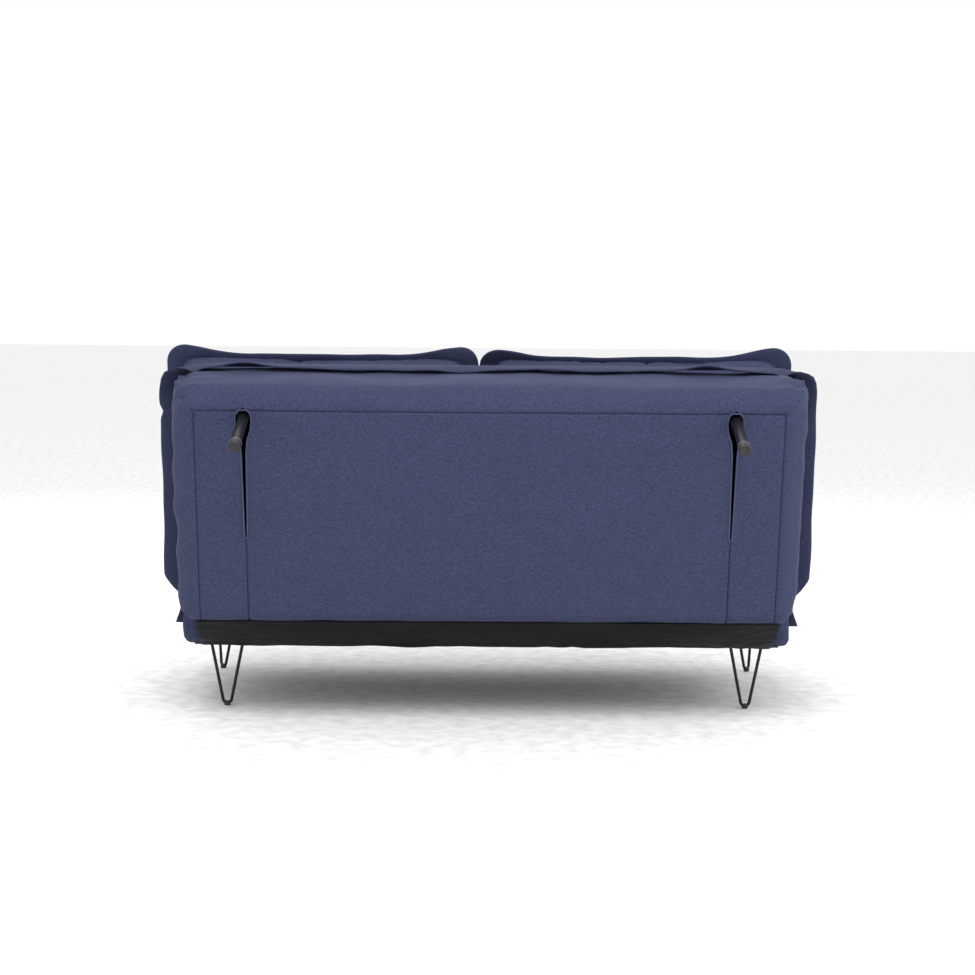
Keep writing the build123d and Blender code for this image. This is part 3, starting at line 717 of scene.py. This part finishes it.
@dataclass
class BackPad:
    """The back section: puffed cover, flat rear panel with two slits, seams and a loose flange."""

    axes: BackAxes
    half_x: float = 0.740
    length: float = 0.570
    depth: float = 0.220
    edge: float = 0.050
    slit_x: float = 0.574
    slit_low: float = 0.208
    slit_high: float = 0.526
    hole_half: float = 0.0180
    arm_x: tuple[float, float] = (0.690, 0.718)
    arm_t: tuple[float, float] = (0.012, 0.188)
    arm_pocket: float = 0.165
    flange_width: float = 0.060
    flange_start: float = 0.004
    hem_drop: float = 0.010
    side_puff: float = 0.012
    top_puff: float = 0.006
    seam_depth: float = 0.0042

    def slit_half(self, s: np.ndarray) -> np.ndarray:
        """Half the slit's opening at each height: a drop-shaped hole above a narrow gap."""
        places = [self.slit_low, 0.215, 0.30, 0.42, 0.450, 0.476, 0.495, 0.511, 0.519, self.slit_high]
        gaps = [0.0, 0.0014, 0.0028, 0.0042, 0.0070, 0.0160, self.hole_half, 0.0165, 0.0110, 0.0]
        return np.interp(s, places, gaps)

    def in_slit(self, axis: int, side: int, centre: np.ndarray) -> bool:
        """Whether a net face lies in a slit or in a hinge arm's pocket."""
        x, s, t = abs(centre[0]), centre[1], centre[2]
        if axis == 2 and side == 1:
            return abs(x - self.slit_x) < 0.001 and self.slit_low < s < self.slit_high
        if axis == 1 and side == 0:
            return self.arm_x[0] < x < self.arm_x[1] and self.arm_t[0] < t < self.arm_t[1]
        return False

    def net(self) -> tuple[np.ndarray, list[tuple[int, ...]]]:
        """The pad's net with close lines at slits and seams."""
        seam_x = self.half_x - self.edge
        near = (-0.006, -0.003, 0, 0.003, 0.006)
        fine_x = [seam_x + d for d in near if abs(d) < 0.004 or d > 0]
        beside = (0.001, 0.0025, 0.0045, 0.008, 0.014, 0.022)
        fine_x += [self.slit_x + sign * d for sign in (-1, 1) for d in beside]
        fine_x += [self.arm_x[0], self.arm_x[1]]
        fine_x = [sign * x for sign in (-1, 1) for x in sorted(set(fine_x))]
        seam_s = self.length - self.edge
        fine_s = [seam_s + d for d in near if d < 0.004] + [self.slit_low, self.slit_high + 0.004]
        fine_s += list(np.arange(0.215, 0.45, 0.012)) + list(np.arange(0.450, 0.515, 0.004))
        xs = Grid(-self.half_x, self.half_x, 0.013).lines(fine_x, 0.045, 0.045)
        ss = Grid(0, self.length, 0.013).lines(sorted(fine_s), 0.0, self.edge)
        ts = Grid(0, self.depth, 0.013).lines(self.arm_t, 0.030, self.edge)
        return grid_shell(xs, ss, ts, self.in_slit)

    def shape(self, box: np.ndarray) -> np.ndarray:
        """Rounds, puffs, creases and slits the net.

        Args:
            box: points of the plain net.

        Returns:
            Points of the pad in the back's axes.
        """
        low, high = np.array([-self.half_x, 0, 0]), np.array([self.half_x, self.length, self.depth])
        count = len(box)
        r_low = np.tile([0.045, 0.036, 0.030], (count, 1))
        r_high = np.tile([0.045, self.edge, self.edge], (count, 1))
        r_low[:, 1] = np.where(box[:, 2] < 0.09, 0.036, 0.008)
        points, normal = round_box(box, low, high, r_low, r_high)
        x, s, t = box.T
        across, up = x / self.half_x, s / self.length
        rear = t > self.depth - 1e-6
        body = np.clip(1 - across ** 6, 0, 1) * np.clip(1 - (2 * up - 1) ** 6, 0, 1)
        puff = np.where(rear, 0.002 * body, 0)
        belly = np.sin(np.clip(t / self.depth, 0, 1) * math.pi)
        side = np.abs(across) > 1 - 1e-6
        top = up > 1 - 1e-6
        puff += np.where(side, self.side_puff * belly * np.clip((s + 0.02) / 0.08, 0, 1), 0)
        puff += np.where(top, self.top_puff * belly, 0)
        wrinkle = 0.0009 * waves(points, 0.20, 5, (1, 1.6, 1)) + 0.0005 * waves(points, 0.07, 6)
        loose = np.where(side | top, 0.0022 * waves(points, 0.11, 7, (2.5, 1, 1)), 0)
        corner = np.exp(-(((np.abs(x) - self.half_x) / 0.09) ** 2) - ((s - self.length) / 0.09) ** 2)
        loose += 0.004 * corner * waves(points, 0.06, 9)
        seam = self.seam_mask(box)
        points = points + normal * (puff + wrinkle + loose - self.seam_depth * seam)[:, None]
        points[:, 1] -= self.hem_drop * np.exp(-s / 0.03) * (t / self.depth) ** 6
        for sign in (-1, 1):
            off = x - sign * self.slit_x
            open_by = self.slit_half(s) * np.exp(-np.maximum(0, np.abs(off) - 0.001) / 0.020)
            inside = rear & (s > self.slit_low) & (s < self.slit_high) & (np.abs(off) < 0.06)
            points[:, 0] += np.where(inside, np.sign(off) * (open_by - 0.001 * (np.abs(off) < 0.0015)), 0)
            lip = np.where(inside, 0.004 * np.exp(-np.abs(off) / 0.010), 0)
            dip = np.exp(-((off / 0.035) ** 2)) * np.exp(-(((s - 0.497) / 0.05) ** 2))
            points[:, 2] += np.where(rear, lip * 0.6 - 0.004 * dip, 0)
        return points

    def seam_mask(self, box: np.ndarray) -> np.ndarray:
        """How deep each point lies in a seam, 0 to 1."""
        x, s, t = np.abs(box[:, 0]), box[:, 1], box[:, 2]
        rear = t > self.depth - 1e-6
        seam_x, seam_s = self.half_x - self.edge, self.length - self.edge
        side = np.abs(x - seam_x) + np.where(s > seam_s + 0.001, 1, 0)
        top = np.abs(s - seam_s) + np.where(x > seam_x + 0.001, 1, 0)
        below = np.abs(x - self.slit_x) + np.where(s > self.slit_low - 0.002, 1, 0)
        mitre = np.abs((x - seam_x) - (s - seam_s)) + np.where((x < seam_x) | (s < seam_s), 1, 0)
        gap = np.minimum(np.minimum(side, top), np.minimum(below, mitre))
        return np.where(rear, np.exp(-((gap / 0.0022) ** 2)), 0)

    def open_edges(self, piece: bpy.types.Object) -> None:
        """Turns slit edges into rolled lips and arm openings into pockets."""
        with editing(piece) as net:
            bmesh.ops.remove_doubles(net, verts=net.verts, dist=0.0002)
            rim = [e for e in net.edges if e.is_boundary]
            slits = [e for e in rim if all(v.co.z > self.depth / 2 and v.co.y > 0.1 for v in e.verts)]
            arms = [e for e in rim if e not in set(slits)]
            steps = ((0.0016, -0.0008), (0.0004, -0.0022), (-0.005, -0.0014), (-0.018, 0.001))
            for outward, widen in steps:
                made = bmesh.ops.extrude_edge_only(net, edges=slits)["geom"]
                slits = [g for g in made if isinstance(g, bmesh.types.BMEdge) and g.is_boundary]
                for v in {v for e in slits for v in e.verts}:
                    middle = math.copysign(self.slit_x, v.co.x)
                    gap = abs(v.co.x - middle)
                    v.co.z += outward
                    if gap > 0.001:
                        v.co.x += math.copysign(widen if gap + widen > 0.0006 else 0, v.co.x - middle)
            sink_pocket(net, arms, self.arm_pocket)

    def build_cover(self) -> bpy.types.Object:
        """The whole cover as one skin."""
        points, faces = self.net()
        piece = make_mesh("back_cover_sewn", self.shape(points), faces)
        self.open_edges(piece)
        local = np.array([v.co[:] for v in piece.data.vertices])
        world = self.axes.place(local)
        piece.data.vertices.foreach_set("co", world.ravel())
        piece.data.update()
        dress(piece, LINEN, "backrest", "cover_fabric", "back_cover", "back_rear_panel", "back_foam",
              "back_top_foam", "back_side_foam_left", "back_side_foam_right")
        return piece

    def build_flange(self) -> bpy.types.Object:
        """The loose flange up both sides and over the top, where it falls backwards."""
        path, out = rounded_path(self.half_x - 0.002, self.flange_start, self.length, 0.040, 0.009)
        count = len(path)
        along_top = np.clip(out[:, 1], 0, 1)
        sink = 0.055 * np.clip(1 - path[:, 1] / 0.42, 0, 1) ** 1.5 * (1 - along_top)
        base = np.column_stack([path[:, 0], path[:, 1] + 0.007 * along_top, 0.010 + sink])
        across = path[:, 0] / self.half_x
        rise = 0.30 * np.exp(-(((across - 0.80) / 0.09) ** 2)) + 0.18 * np.exp(-(((across + 0.70) / 0.08) ** 2))
        tuck = np.exp(-(((across - 0.955) / 0.018) ** 2)) + np.exp(-(((across + 0.95) / 0.018) ** 2))
        high = np.clip((path[:, 1] - 0.43) / 0.12, 0, 1)
        droop = np.maximum(along_top * (1.46 - rise + 0.2 * tuck), 0.55 * high ** 2) + 0.10
        start = np.clip((path[:, 1] - self.flange_start) / 0.05, 0, 1) ** 0.6
        notch = np.exp(-(((path[:, 1] - 0.462) / 0.012) ** 2)) * (across > 0.9)
        reach = (0.15 + 0.85 * start) * (1 - 0.02 * along_top - 0.12 * notch)
        turn = self.axes.directions()
        outward = np.column_stack([out, np.zeros(count)]) @ turn
        face = np.tile([0, 0, 1.0], (count, 1)) @ turn
        piece = Flange("back_flange_sewn", self.flange_width, ripple=0.09, wave=0.34, seed=11).build(
            self.axes.place(base), outward, face, droop, reach)
        dress(piece, SHADED_FLANGE_LINEN, "backrest", "flange_fabric", "back_flange")
        return piece

    def build_stitches(self) -> None:
        """Rows of stitches beside the panel's seam."""
        inset = self.edge
        x, top = self.half_x - inset, self.length - inset
        side = np.arange(0.012, top, 0.01)
        left = np.column_stack([np.full(len(side), x), side])
        over = np.arange(-x, x, 0.01)
        upper = np.column_stack([over[::-1], np.full(len(over), top)])
        right = np.column_stack([np.full(len(side), -x), side[::-1]])
        route = np.vstack([left, upper, right])
        local = self.shape(np.column_stack([route, np.full(len(route), self.depth)]))
        local[:, 2] += 0.0004
        StitchRow("panel_seam_thread").build(self.axes.place(local), "backrest", "cover_fabric")
        for sign, label in ((-1, "left"), (1, "right")):
            down = np.arange(0.002, self.slit_low, 0.008)
            plain = [np.full(len(down), sign * self.slit_x), down, down * 0 + self.depth]
            line = self.shape(np.column_stack(plain))
            line[:, 2] += 0.0004
            StitchRow(f"slit_seam_thread_{label}").build(self.axes.place(line), "backrest", "cover_fabric")

    def build_welts(self) -> None:
        """The rolled welt round each slit."""
        for sign, label in ((-1, "left"), (1, "right")):
            up = np.arange(self.slit_low + 0.002, self.slit_high - 0.001, 0.004)
            middle, beside = sign * self.slit_x, 0.0022
            loop = [(middle + beside, s) for s in up] + [(middle - beside, s) for s in up[::-1]]
            local = self.shape(np.column_stack([np.array(loop), np.full(len(loop), self.depth)]))
            local[:, 2] += 0.0006
            piece = cord_loop(f"slit_welt_{label}", self.axes.place(local), 0.0019)
            dress(piece, WELT_LINEN, "backrest", "cover_fabric", *(["slit_welts"] if sign > 0 else []))

    def build(self) -> None:
        """Builds the whole back."""
        self.build_cover()
        self.build_flange()
        self.build_stitches()
        self.build_welts()


# ---------- the seat ----------

@dataclass
class SeatPad:
    """The seat section: crowned cover with a loose flange and ruffled ends at the rear corners."""

    low: np.ndarray
    high: np.ndarray
    arm_x: tuple[float, float] = (0.701, 0.714)
    arm_z: tuple[float, float] = (0.196, 0.300)
    arm_pocket: float = 0.150
    flange_width: float = 0.036
    flange_drop: float = 0.022
    crown: float = 0.006
    belly: float = 0.007
    corner: float = 0.040

    def in_pocket(self, axis: int, side: int, centre: np.ndarray) -> bool:
        """Whether a net face lies over a hinge arm's opening."""
        x, z = abs(centre[0]), centre[2]
        inside = self.arm_x[0] < x < self.arm_x[1] and self.arm_z[0] < z < self.arm_z[1]
        return axis == 1 and side == 1 and inside

    def build_cover(self) -> bpy.types.Object:
        """The seat's cover as one skin."""
        fine_x = [sign * x for sign in (-1, 1) for x in self.arm_x]
        seam = self.high[2] - self.flange_drop
        xs = Grid(self.low[0], self.high[0], 0.014).lines(sorted(fine_x), self.corner, self.corner)
        ys = Grid(self.low[1], self.high[1], 0.014).lines((), self.corner, self.corner)
        fine_z = [*self.arm_z, seam - 0.003, seam, seam + 0.003]
        zs = Grid(self.low[2] + 0.001, self.high[2], 0.013).lines(fine_z, 0.012, 0.018)
        box, faces = grid_shell(xs, ys, zs, self.in_pocket)
        floor = np.array([self.low[0], self.low[1], self.low[2] + 0.001])
        points, normal = round_box(box, floor, self.high, np.array([self.corner, self.corner, 0.012]),
                                   np.array([self.corner, 0.030, 0.020]))
        across = 2 * (box[:, 0] - self.low[0]) / (self.high[0] - self.low[0]) - 1
        deep = (box[:, 1] - self.low[1]) / (self.high[1] - self.low[1])
        top = box[:, 2] > self.high[2] - 1e-6
        wall = ~top & (box[:, 2] > self.low[2] + 0.002)
        crown = np.clip(1 - across ** 4, 0, 1) * np.clip(np.minimum(deep / 0.2, (0.68 - deep) / 0.3), 0, 1)
        height = (box[:, 2] - self.low[2]) / (self.high[2] - self.low[2])
        belly = np.sin(np.clip(height, 0, 1) * math.pi)
        puff = np.where(top, self.crown * crown, 0) + np.where(wall, self.belly * belly, 0)
        rear = box[:, 1] > self.high[1] - 1e-6
        puff = np.where(rear, 0.0, puff)
        creases = np.where(wall & ~rear, 0.002 * waves(points, 0.10, 21, (2.2, 2.2, 1)), 0)
        creases += 0.0012 * waves(points, 0.16, 22)
        groove = np.where(wall, np.exp(-(((box[:, 2] - seam) / 0.0025) ** 2)), 0)
        corner = np.clip((np.abs(across) - 0.93) / 0.07, 0, 1) * np.clip((deep - 0.9) / 0.1, 0, 1)
        gather = corner * np.clip(1 - height / 0.35, 0, 1)
        points = points + normal * (puff + creases - 0.003 * groove + 0.006 * gather)[:, None]
        points[:, 2] += 0.010 * gather * (0.5 + 0.5 * np.sin(box[:, 1] * 240))
        piece = make_mesh("seat_cover_sewn", points, faces)
        with editing(piece) as net:
            sink_pocket(net, [e for e in net.edges if e.is_boundary], self.high[1] - self.arm_pocket)
        dress(piece, LINEN, "base", "cover_fabric", "seat_cover", "seat_foam", "seat_front_foam",
              "seat_side_foam_left", "seat_side_foam_right")
        return piece

    def build_flange(self) -> None:
        """The flange round the front and sides, and its ends down the rear corners."""
        half = self.high[0] - 0.001
        back, front = self.high[1] - self.corner, self.low[1]
        path, out = rounded_path(half, 0, back - front, self.corner, 0.010)
        count = len(path)
        seam = self.high[2] - self.flange_drop
        base = np.column_stack([path[:, 0], back - path[:, 1], np.full(count, seam)])
        outward = np.column_stack([out[:, 0], -out[:, 1], np.zeros(count)])
        face = np.tile([0, 0, -1.0], (count, 1))
        piece = Flange("seat_flange_sewn", self.flange_width, seed=31).build(
            base, outward, face, np.full(count, 0.35), np.ones(count))
        dress(piece, SHADED_FLANGE_LINEN, "base", "flange_fabric", "seat_flange")
        for sign, label in ((1, "right"), (-1, "left")):
            heights = np.arange(seam, self.low[2] + 0.048, -0.006)
            count = len(heights)
            base = np.column_stack([np.full(count, sign * half), np.full(count, back + 0.012), heights])
            outward = np.tile([sign * 1.0, 0.2, 0.0], (count, 1))
            face = np.tile([0, 1.0, 0], (count, 1))
            low_end = np.clip((heights - self.low[2] - 0.050) / 0.05, 0, 1)
            droop = 0.9 * low_end - 0.5 * (1 - low_end)
            reach = 0.55 + 0.55 * (1 - low_end) ** 2
            tail = Flange(f"seat_flange_end_{label}", 0.026, ripple=0.5, seed=40 + sign).build(
                base, outward, face, droop, reach)
            dress(tail, SHADED_FLANGE_LINEN, "base", "flange_fabric")

    def build(self) -> None:
        """Builds the whole seat."""
        self.build_cover()
        self.build_flange()


# ---------- black linings ----------

@dataclass
class Linings:
    """The gathered lining at the hinge and the dust lining under the frame."""

    axes: BackAxes
    seat_low: np.ndarray
    seat_high: np.ndarray
    half_x: float = 0.705
    gathers: tuple[float, ...] = (-0.664, -0.247, 0.206, 0.640)
    cut: float = 0.290

    def gather_pull(self, x: np.ndarray) -> np.ndarray:
        """How strongly the cloth is pulled together at each place across, 0 to 1."""
        pull = np.zeros_like(x)
        for place in self.gathers:
            pull = np.maximum(pull, np.exp(-(((x - place) / 0.075) ** 2)))
        return pull

    def build_hinge(self) -> bpy.types.Object:
        """The slack cloth between the seat's rear edge and the back's hem."""
        xs = np.linspace(-self.half_x, self.half_x, 300)
        vs = np.linspace(0, 1, 46)
        hem = self.axes.place(np.array([[0, -0.007, 0.210]]))[0]
        low_y, low_z = self.seat_high[1] + 0.003, self.seat_low[2] + 0.002
        grid_x, grid_v = np.meshgrid(xs, vs, indexing="ij")
        x, v = grid_x.ravel(), grid_v.ravel()
        y = low_y + (hem[1] - low_y) * v ** 0.8
        z = low_z + (hem[2] - low_z) * v ** 1.25
        pull = self.gather_pull(x)
        belly = np.sin(math.pi * v) * (1 - 0.55 * pull)
        flat = np.column_stack([x, v * 0.25, x * 0])
        fold = waves(flat, 0.045, 51, (7, 1, 1)) + 0.7 * waves(flat, 0.024, 52, (9, 1, 1))
        pleat = np.sin(v * 34 + 3 * waves(np.column_stack([x, x * 0, x * 0]), 0.3, 53)) * pull
        free = np.sin(math.pi * np.clip(v, 0, 1)) ** 0.5
        bump = free * (0.0042 * fold + 0.0105 * pleat)
        y += 0.016 * belly + bump * 0.7
        z += -0.006 * belly + bump * 0.7
        points = np.column_stack([x, y, z])
        piece = make_mesh("hinge_lining_gathered", points, strip_faces(len(xs), len(vs)))
        thick = piece.modifiers.new("cloth", "SOLIDIFY")
        thick.thickness = 0.0012
        dress(piece, SATIN, None, "black_lining", "hinge_lining")
        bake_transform(piece)
        return piece

    def build_dust(self) -> bpy.types.Object:
        """The dust lining under the frame, slack between the rails."""
        half, front, rear = self.seat_high[0] - 0.026, self.seat_low[1] + 0.026, self.seat_high[1] - 0.004
        xs, ys = np.linspace(-half, half, 160), np.linspace(front, rear, 76)
        grid_x, grid_y = np.meshgrid(xs, ys, indexing="ij")
        x, y = grid_x.ravel(), grid_y.ravel()
        inner = np.clip((half - 0.07 - np.abs(x)) / 0.10, 0, 1) * np.clip((y - front - 0.07) / 0.10, 0, 1)
        inner *= np.clip((rear - 0.06 - y) / 0.08, 0, 1)
        flat = np.column_stack([x, y, x * 0])
        sag = inner * (0.006 + 0.0022 * waves(flat, 0.18, 61) + 0.001 * waves(flat, 0.05, 62))
        points = np.column_stack([x, y, self.seat_low[2] - 0.0003 - sag])
        piece = make_mesh("dust_lining", points, strip_faces(len(xs), len(ys)))
        thick = piece.modifiers.new("cloth", "SOLIDIFY")
        thick.thickness = 0.0008
        thick.offset = 1
        dress(piece, SATIN, "base", "black_lining", "base_lining")
        return piece


# ---------- loose cushions ----------

@dataclass
class Cushion:
    """A loose back cushion: a filled cover blown up as cloth, with a flange on its seam."""

    side: str
    middle_x: float
    foot: np.ndarray
    lean: float
    seed: int
    width: float = 0.716
    height: float = 0.480
    thick: float = 0.170
    start_inset: float = 0.012
    voxel: float = 0.006
    most_move: float = 0.024
    frames: int = 20
    flange_width: float = 0.027
    top_dip: float = 0.024

    def directions(self) -> np.ndarray:
        """Rows are world x, the cushion's up and its front."""
        c, s = math.cos(self.lean), math.sin(self.lean)
        return np.array([[1, 0, 0], [0, s, c], [0, -c, s]])

    def place(self, local: np.ndarray) -> np.ndarray:
        """World points of (across, up, forward) points."""
        return local @ self.directions() + np.array([self.middle_x, self.foot[1], self.foot[2]])

    def start_mesh(self) -> bpy.types.Object:
        """The smaller block that the cloth starts from."""
        inset = self.start_inset
        low = np.array([-self.width / 2 + inset, 0.004, inset])
        high = np.array([self.width / 2 - inset, self.height - inset, self.thick - inset])
        grids = [Grid(low[a], high[a], 0.012).lines((), 0.05, 0.05) for a in range(3)]
        box, faces = grid_shell(*grids, lambda axis, side, centre: False)
        radius = np.tile([0.034, 0.034, 0.070], (len(box), 1))
        radius_low = radius.copy()
        radius_low[:, 1] = 0.030
        points, normal = round_box(box, low, high, radius_low, radius)
        points += normal * (0.002 * waves(points, 0.16, self.seed))[:, None]
        world = self.place(points)
        floor = self.foot[2] + 0.001
        world[:, 2] = np.maximum(world[:, 2], floor)
        return make_mesh(f"cushion_{self.side}", world, faces)

    def inflate(self, piece: bpy.types.Object) -> None:
        """Blows the cover up as cloth and keeps each point near its start."""
        remesh = piece.modifiers.new("voxels", "REMESH")
        remesh.mode = "VOXEL"
        remesh.voxel_size = self.voxel
        bpy.context.view_layer.objects.active = piece
        bpy.ops.object.modifier_apply(modifier="voxels")
        piece.data.shade_smooth()
        start = np.array([v.co[:] for v in piece.data.vertices])
        cloth = piece.modifiers.new("cloth", "CLOTH")
        settings = cloth.settings
        settings.use_pressure = True
        settings.uniform_pressure_force = 4.0
        settings.tension_stiffness = 12
        settings.compression_stiffness = 12
        settings.bending_stiffness = 0.6
        settings.shrink_min = -0.02
        settings.effector_weights.gravity = 0.0
        scene = bpy.context.scene
        for number in range(1, self.frames + 1):
            scene.frame_set(number)
        ready = piece.evaluated_get(bpy.context.evaluated_depsgraph_get())
        moved = np.array([v.co[:] for v in ready.data.vertices])
        piece.modifiers.remove(cloth)
        scene.frame_set(1)
        step = moved - start
        far = np.linalg.norm(step, axis=1, keepdims=True)
        step *= np.minimum(1, self.most_move / np.maximum(far, 1e-9))
        LOG.info("%s: cloth moved %.1f mm at most", piece.name, 1000 * float(far.max()))
        self.settle(piece, start + step)

    def settle(self, piece: bpy.types.Object, world: np.ndarray) -> None:
        """Keeps the cushion off the seat and the back, and in its own half."""
        base = np.array([self.middle_x, self.foot[1], self.foot[2]])
        local = (world - base) @ self.directions().T
        local[:, 2] = np.maximum(local[:, 2], 0.0005)
        half = self.width / 2 + 0.008
        local[:, 0] = np.clip(local[:, 0], -half, half)
        world = self.place(local)
        world[:, 2] = np.maximum(world[:, 2], self.foot[2] + 0.0005)
        piece.data.vertices.foreach_set("co", world.ravel())
        piece.data.update()

    def build_flange(self, piece: bpy.types.Object) -> bpy.types.Object:
        """The flange, sewn where the cover is widest."""
        tree = BVHTree.FromObject(piece, bpy.context.evaluated_depsgraph_get())
        path, out = rounded_path(self.width / 2, 0.030, self.height, 0.020, 0.010)
        mid = self.thick / 2
        turn = self.directions()
        base, outward, gaps = [], [], []
        for (x, s), (dx, ds) in zip(path, out):
            lift = math.exp(-(((abs(x) - self.width / 2) / 0.085) ** 2))
            edge = self.place(np.array([[x, s - self.top_dip * ds * (1 - lift), mid]]))[0]
            heading = np.array([dx, ds, 0]) @ turn
            hit = tree.ray_cast(Vector(edge + 0.1 * heading), Vector(-heading), 0.3)[0]
            gaps.append(float((edge - np.array(hit)) @ heading) if hit else 0.0)
            base.append(edge)
            outward.append(heading)
        count = len(base)
        even = np.convolve(np.pad(gaps, 2, mode="edge"), np.ones(5) / 5, mode="valid")
        gap = np.clip(even, -0.006, 0.05) + 0.004
        from_side = np.abs(np.abs(path[:, 0]) - self.width / 2)
        near = np.exp(-((from_side / 0.09) ** 2)) * (path[:, 1] > self.height - 0.1)
        start = np.array(base) - gap[:, None] * np.array(outward)
        face = np.tile(-turn[2], (count, 1))
        run = np.column_stack([path, np.zeros(count)])
        droop = out[:, 1] * (0.26 * (1 - near) + 0.20 * waves(run, 0.5, self.seed + 3))
        flange = Flange(f"cushion_flange_sewn_{self.side}", self.flange_width, ripple=0.16, wave=0.26,
                        seed=self.seed + 7)
        reach = (gap + self.flange_width) / self.flange_width
        made = flange.build(start, np.array(outward), face, droop, reach)
        dress(made, SHADED_FLANGE_LINEN, f"back_cushion_{self.side}", "flange_fabric", f"cushion_flange_{self.side}")
        return made

    def build(self) -> None:
        """Builds the cushion and its flange."""
        piece = self.start_mesh()
        self.inflate(piece)
        dress(piece, LINEN, f"back_cushion_{self.side}", "cushion_fabric", f"cushion_cover_{self.side}",
              f"cushion_filling_{self.side}")
        self.build_flange(piece)


# ---------- bare parts and studio ----------

def finish_nodes() -> None:
    """Gives every modelled node that still shows its finish."""
    slots = {entry["node"]: entry["material_slot"] for entry in frame["record"]["subparts"]}
    for name, piece in frame["nodes"].items():
        made = FINISHES[slots[name]].material()
        piece.data.materials.clear()
        piece.data.materials.append(made)


@dataclass
class SupportEnd:
    """The cap and collar ring on the free end of a support leg."""

    side: str
    fall: float = math.radians(18)
    length: float = 0.026
    radius: float = 0.014

    def build(self) -> None:
        """Builds the cap with a raised rim and the ring behind it."""
        low, high = (np.array(corner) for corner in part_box(f"support_cap_{self.side}"))
        axis = np.array([0, math.cos(self.fall), -math.sin(self.fall)])
        start = (low + high) / 2 - axis * self.length / 2
        r, end = self.radius, self.length
        profile = [(0.0004, r - 0.0016), (0.0004, r - 0.0004), (0.001, r), (end - 0.0022, r),
                   (end - 0.0010, r - 0.0005), (end - 0.0002, r - 0.0014), (end, r - 0.0022),
                   (end - 0.0003, r - 0.0030), (end - 0.0012, r - 0.0036),
                   (end - 0.0012, 0.002), (end - 0.0012, 0.0003)]
        cap = turned(f"support_cap_turned_{self.side}", start, axis, profile)
        dress(cap, FINISHES["cap_plastic"], f"support_leg_{self.side}", "cap_plastic",
              f"support_cap_{self.side}")
        ring = [(0.0, r - 0.0012), (-0.0002, r), (-0.001, r + 0.0006), (-0.0022, r + 0.0004),
                (-0.0026, r - 0.0012)]
        collar = turned(f"support_collar_{self.side}", start, axis, ring)
        dress(collar, COLLAR, f"support_leg_{self.side}", "cap_plastic")


@dataclass(frozen=True)
class Studio:
    """Camera, soft light and a pale floor."""

    eye: tuple[float, float, float] = (0.0369, 5.107, 0.982)
    pitch: float = math.radians(4.833)
    roll: float = math.radians(0.448)
    yaw: float = math.radians(0.406)
    lens: float = 74.2
    sensor: float = 36.0

    def camera(self) -> None:
        """The camera behind the sofa."""
        forward0 = np.array([-math.sin(self.yaw), -math.cos(self.yaw), 0])
        right0 = np.array([-math.cos(self.yaw), math.sin(self.yaw), 0])
        forward = forward0 * math.cos(self.pitch) - np.array([0, 0, math.sin(self.pitch)])
        up0 = forward0 * math.sin(self.pitch) + np.array([0, 0, math.cos(self.pitch)])
        right = right0 * math.cos(self.roll) + up0 * math.sin(self.roll)
        up = up0 * math.cos(self.roll) - right0 * math.sin(self.roll)
        data = bpy.data.cameras.new("camera")
        data.lens = self.lens
        data.sensor_width = self.sensor
        seat = add_object("camera", data)
        columns = np.column_stack([right, up, -forward])
        seat.matrix_world = Matrix.Translation(Vector(self.eye)) @ Matrix(columns.tolist()).to_4x4()
        bpy.context.scene.camera = seat

    def light(self, name: str, place: Sequence[float], size: float, power: float) -> None:
        """A large square lamp that points at the sofa's middle."""
        data = bpy.data.lights.new(name, "AREA")
        data.size = size
        data.energy = power
        lamp = add_object(name, data)
        aim = Vector((0, 0, 0.45)) - Vector(place)
        turn = aim.to_track_quat("-Z", "Y").to_matrix().to_4x4()
        lamp.matrix_world = Matrix.Translation(Vector(place)) @ turn

    def build(self) -> None:
        """Sets the whole studio up."""
        self.camera()
        self.light("key", (0.6, 3.6, 5.0), 3.2, 150)
        self.light("fill", (-3.8, 2.2, 2.4), 2.6, 60)
        self.light("front", (0.5, -4.2, 3.4), 3.0, 60)
        world = bpy.data.worlds.new("studio")
        world.use_nodes = True
        world.node_tree.nodes["Background"].inputs["Color"].default_value = (1, 1, 1, 1)
        world.node_tree.nodes["Background"].inputs["Strength"].default_value = 1.0
        bpy.context.scene.world = world
        half = 60.0
        corners = half * np.array([[-1, -1, 0], [1, -1, 0], [1, 1, 0], [-1, 1, 0]])
        floor = make_mesh("floor", corners, [(0, 1, 2, 3)], smooth=False)
        finish = Finish("pale_floor", (0.92, 0.92, 0.92), 0.85, 0.0, specular=0.1)
        floor.data.materials.append(finish.material())
        bpy.context.scene.view_settings.view_transform = "Standard"


def main() -> None:
    """Builds the sofa bed's looks in order."""
    logging.basicConfig(level=logging.INFO, format="%(name)s %(message)s")
    joints = {joint["name"]: joint for joint in frame["joints"]}
    pivot = joints["backrest_fold"]["pos_m"]
    axes = BackAxes(pivot_y=pivot[1], pivot_z=pivot[2])
    seat_low, seat_high = (np.array(corner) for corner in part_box("seat_cover"))
    finish_nodes()
    BackPad(axes).build()
    SeatPad(seat_low, seat_high).build()
    linings = Linings(axes, seat_low, seat_high)
    linings.build_hinge()
    linings.build_dust()
    for side, seed in (("left", 71), ("right", 83)):
        SupportEnd(side).build()
        low, high = (np.array(corner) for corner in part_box(f"cushion_cover_{side}"))
        rise = low[2] - pivot[2]
        foot_s = (rise + math.sin(axes.lean) * -axes.pivot_depth) / math.cos(axes.lean) + axes.pivot_end
        foot = axes.place(np.array([[0, foot_s, -0.001]]))[0]
        foot[2] = low[2]
        Cushion(side, (low[0] + high[0]) / 2, foot, axes.lean, seed).build()
    Studio().build()


if __name__ == "__main__":
    main()
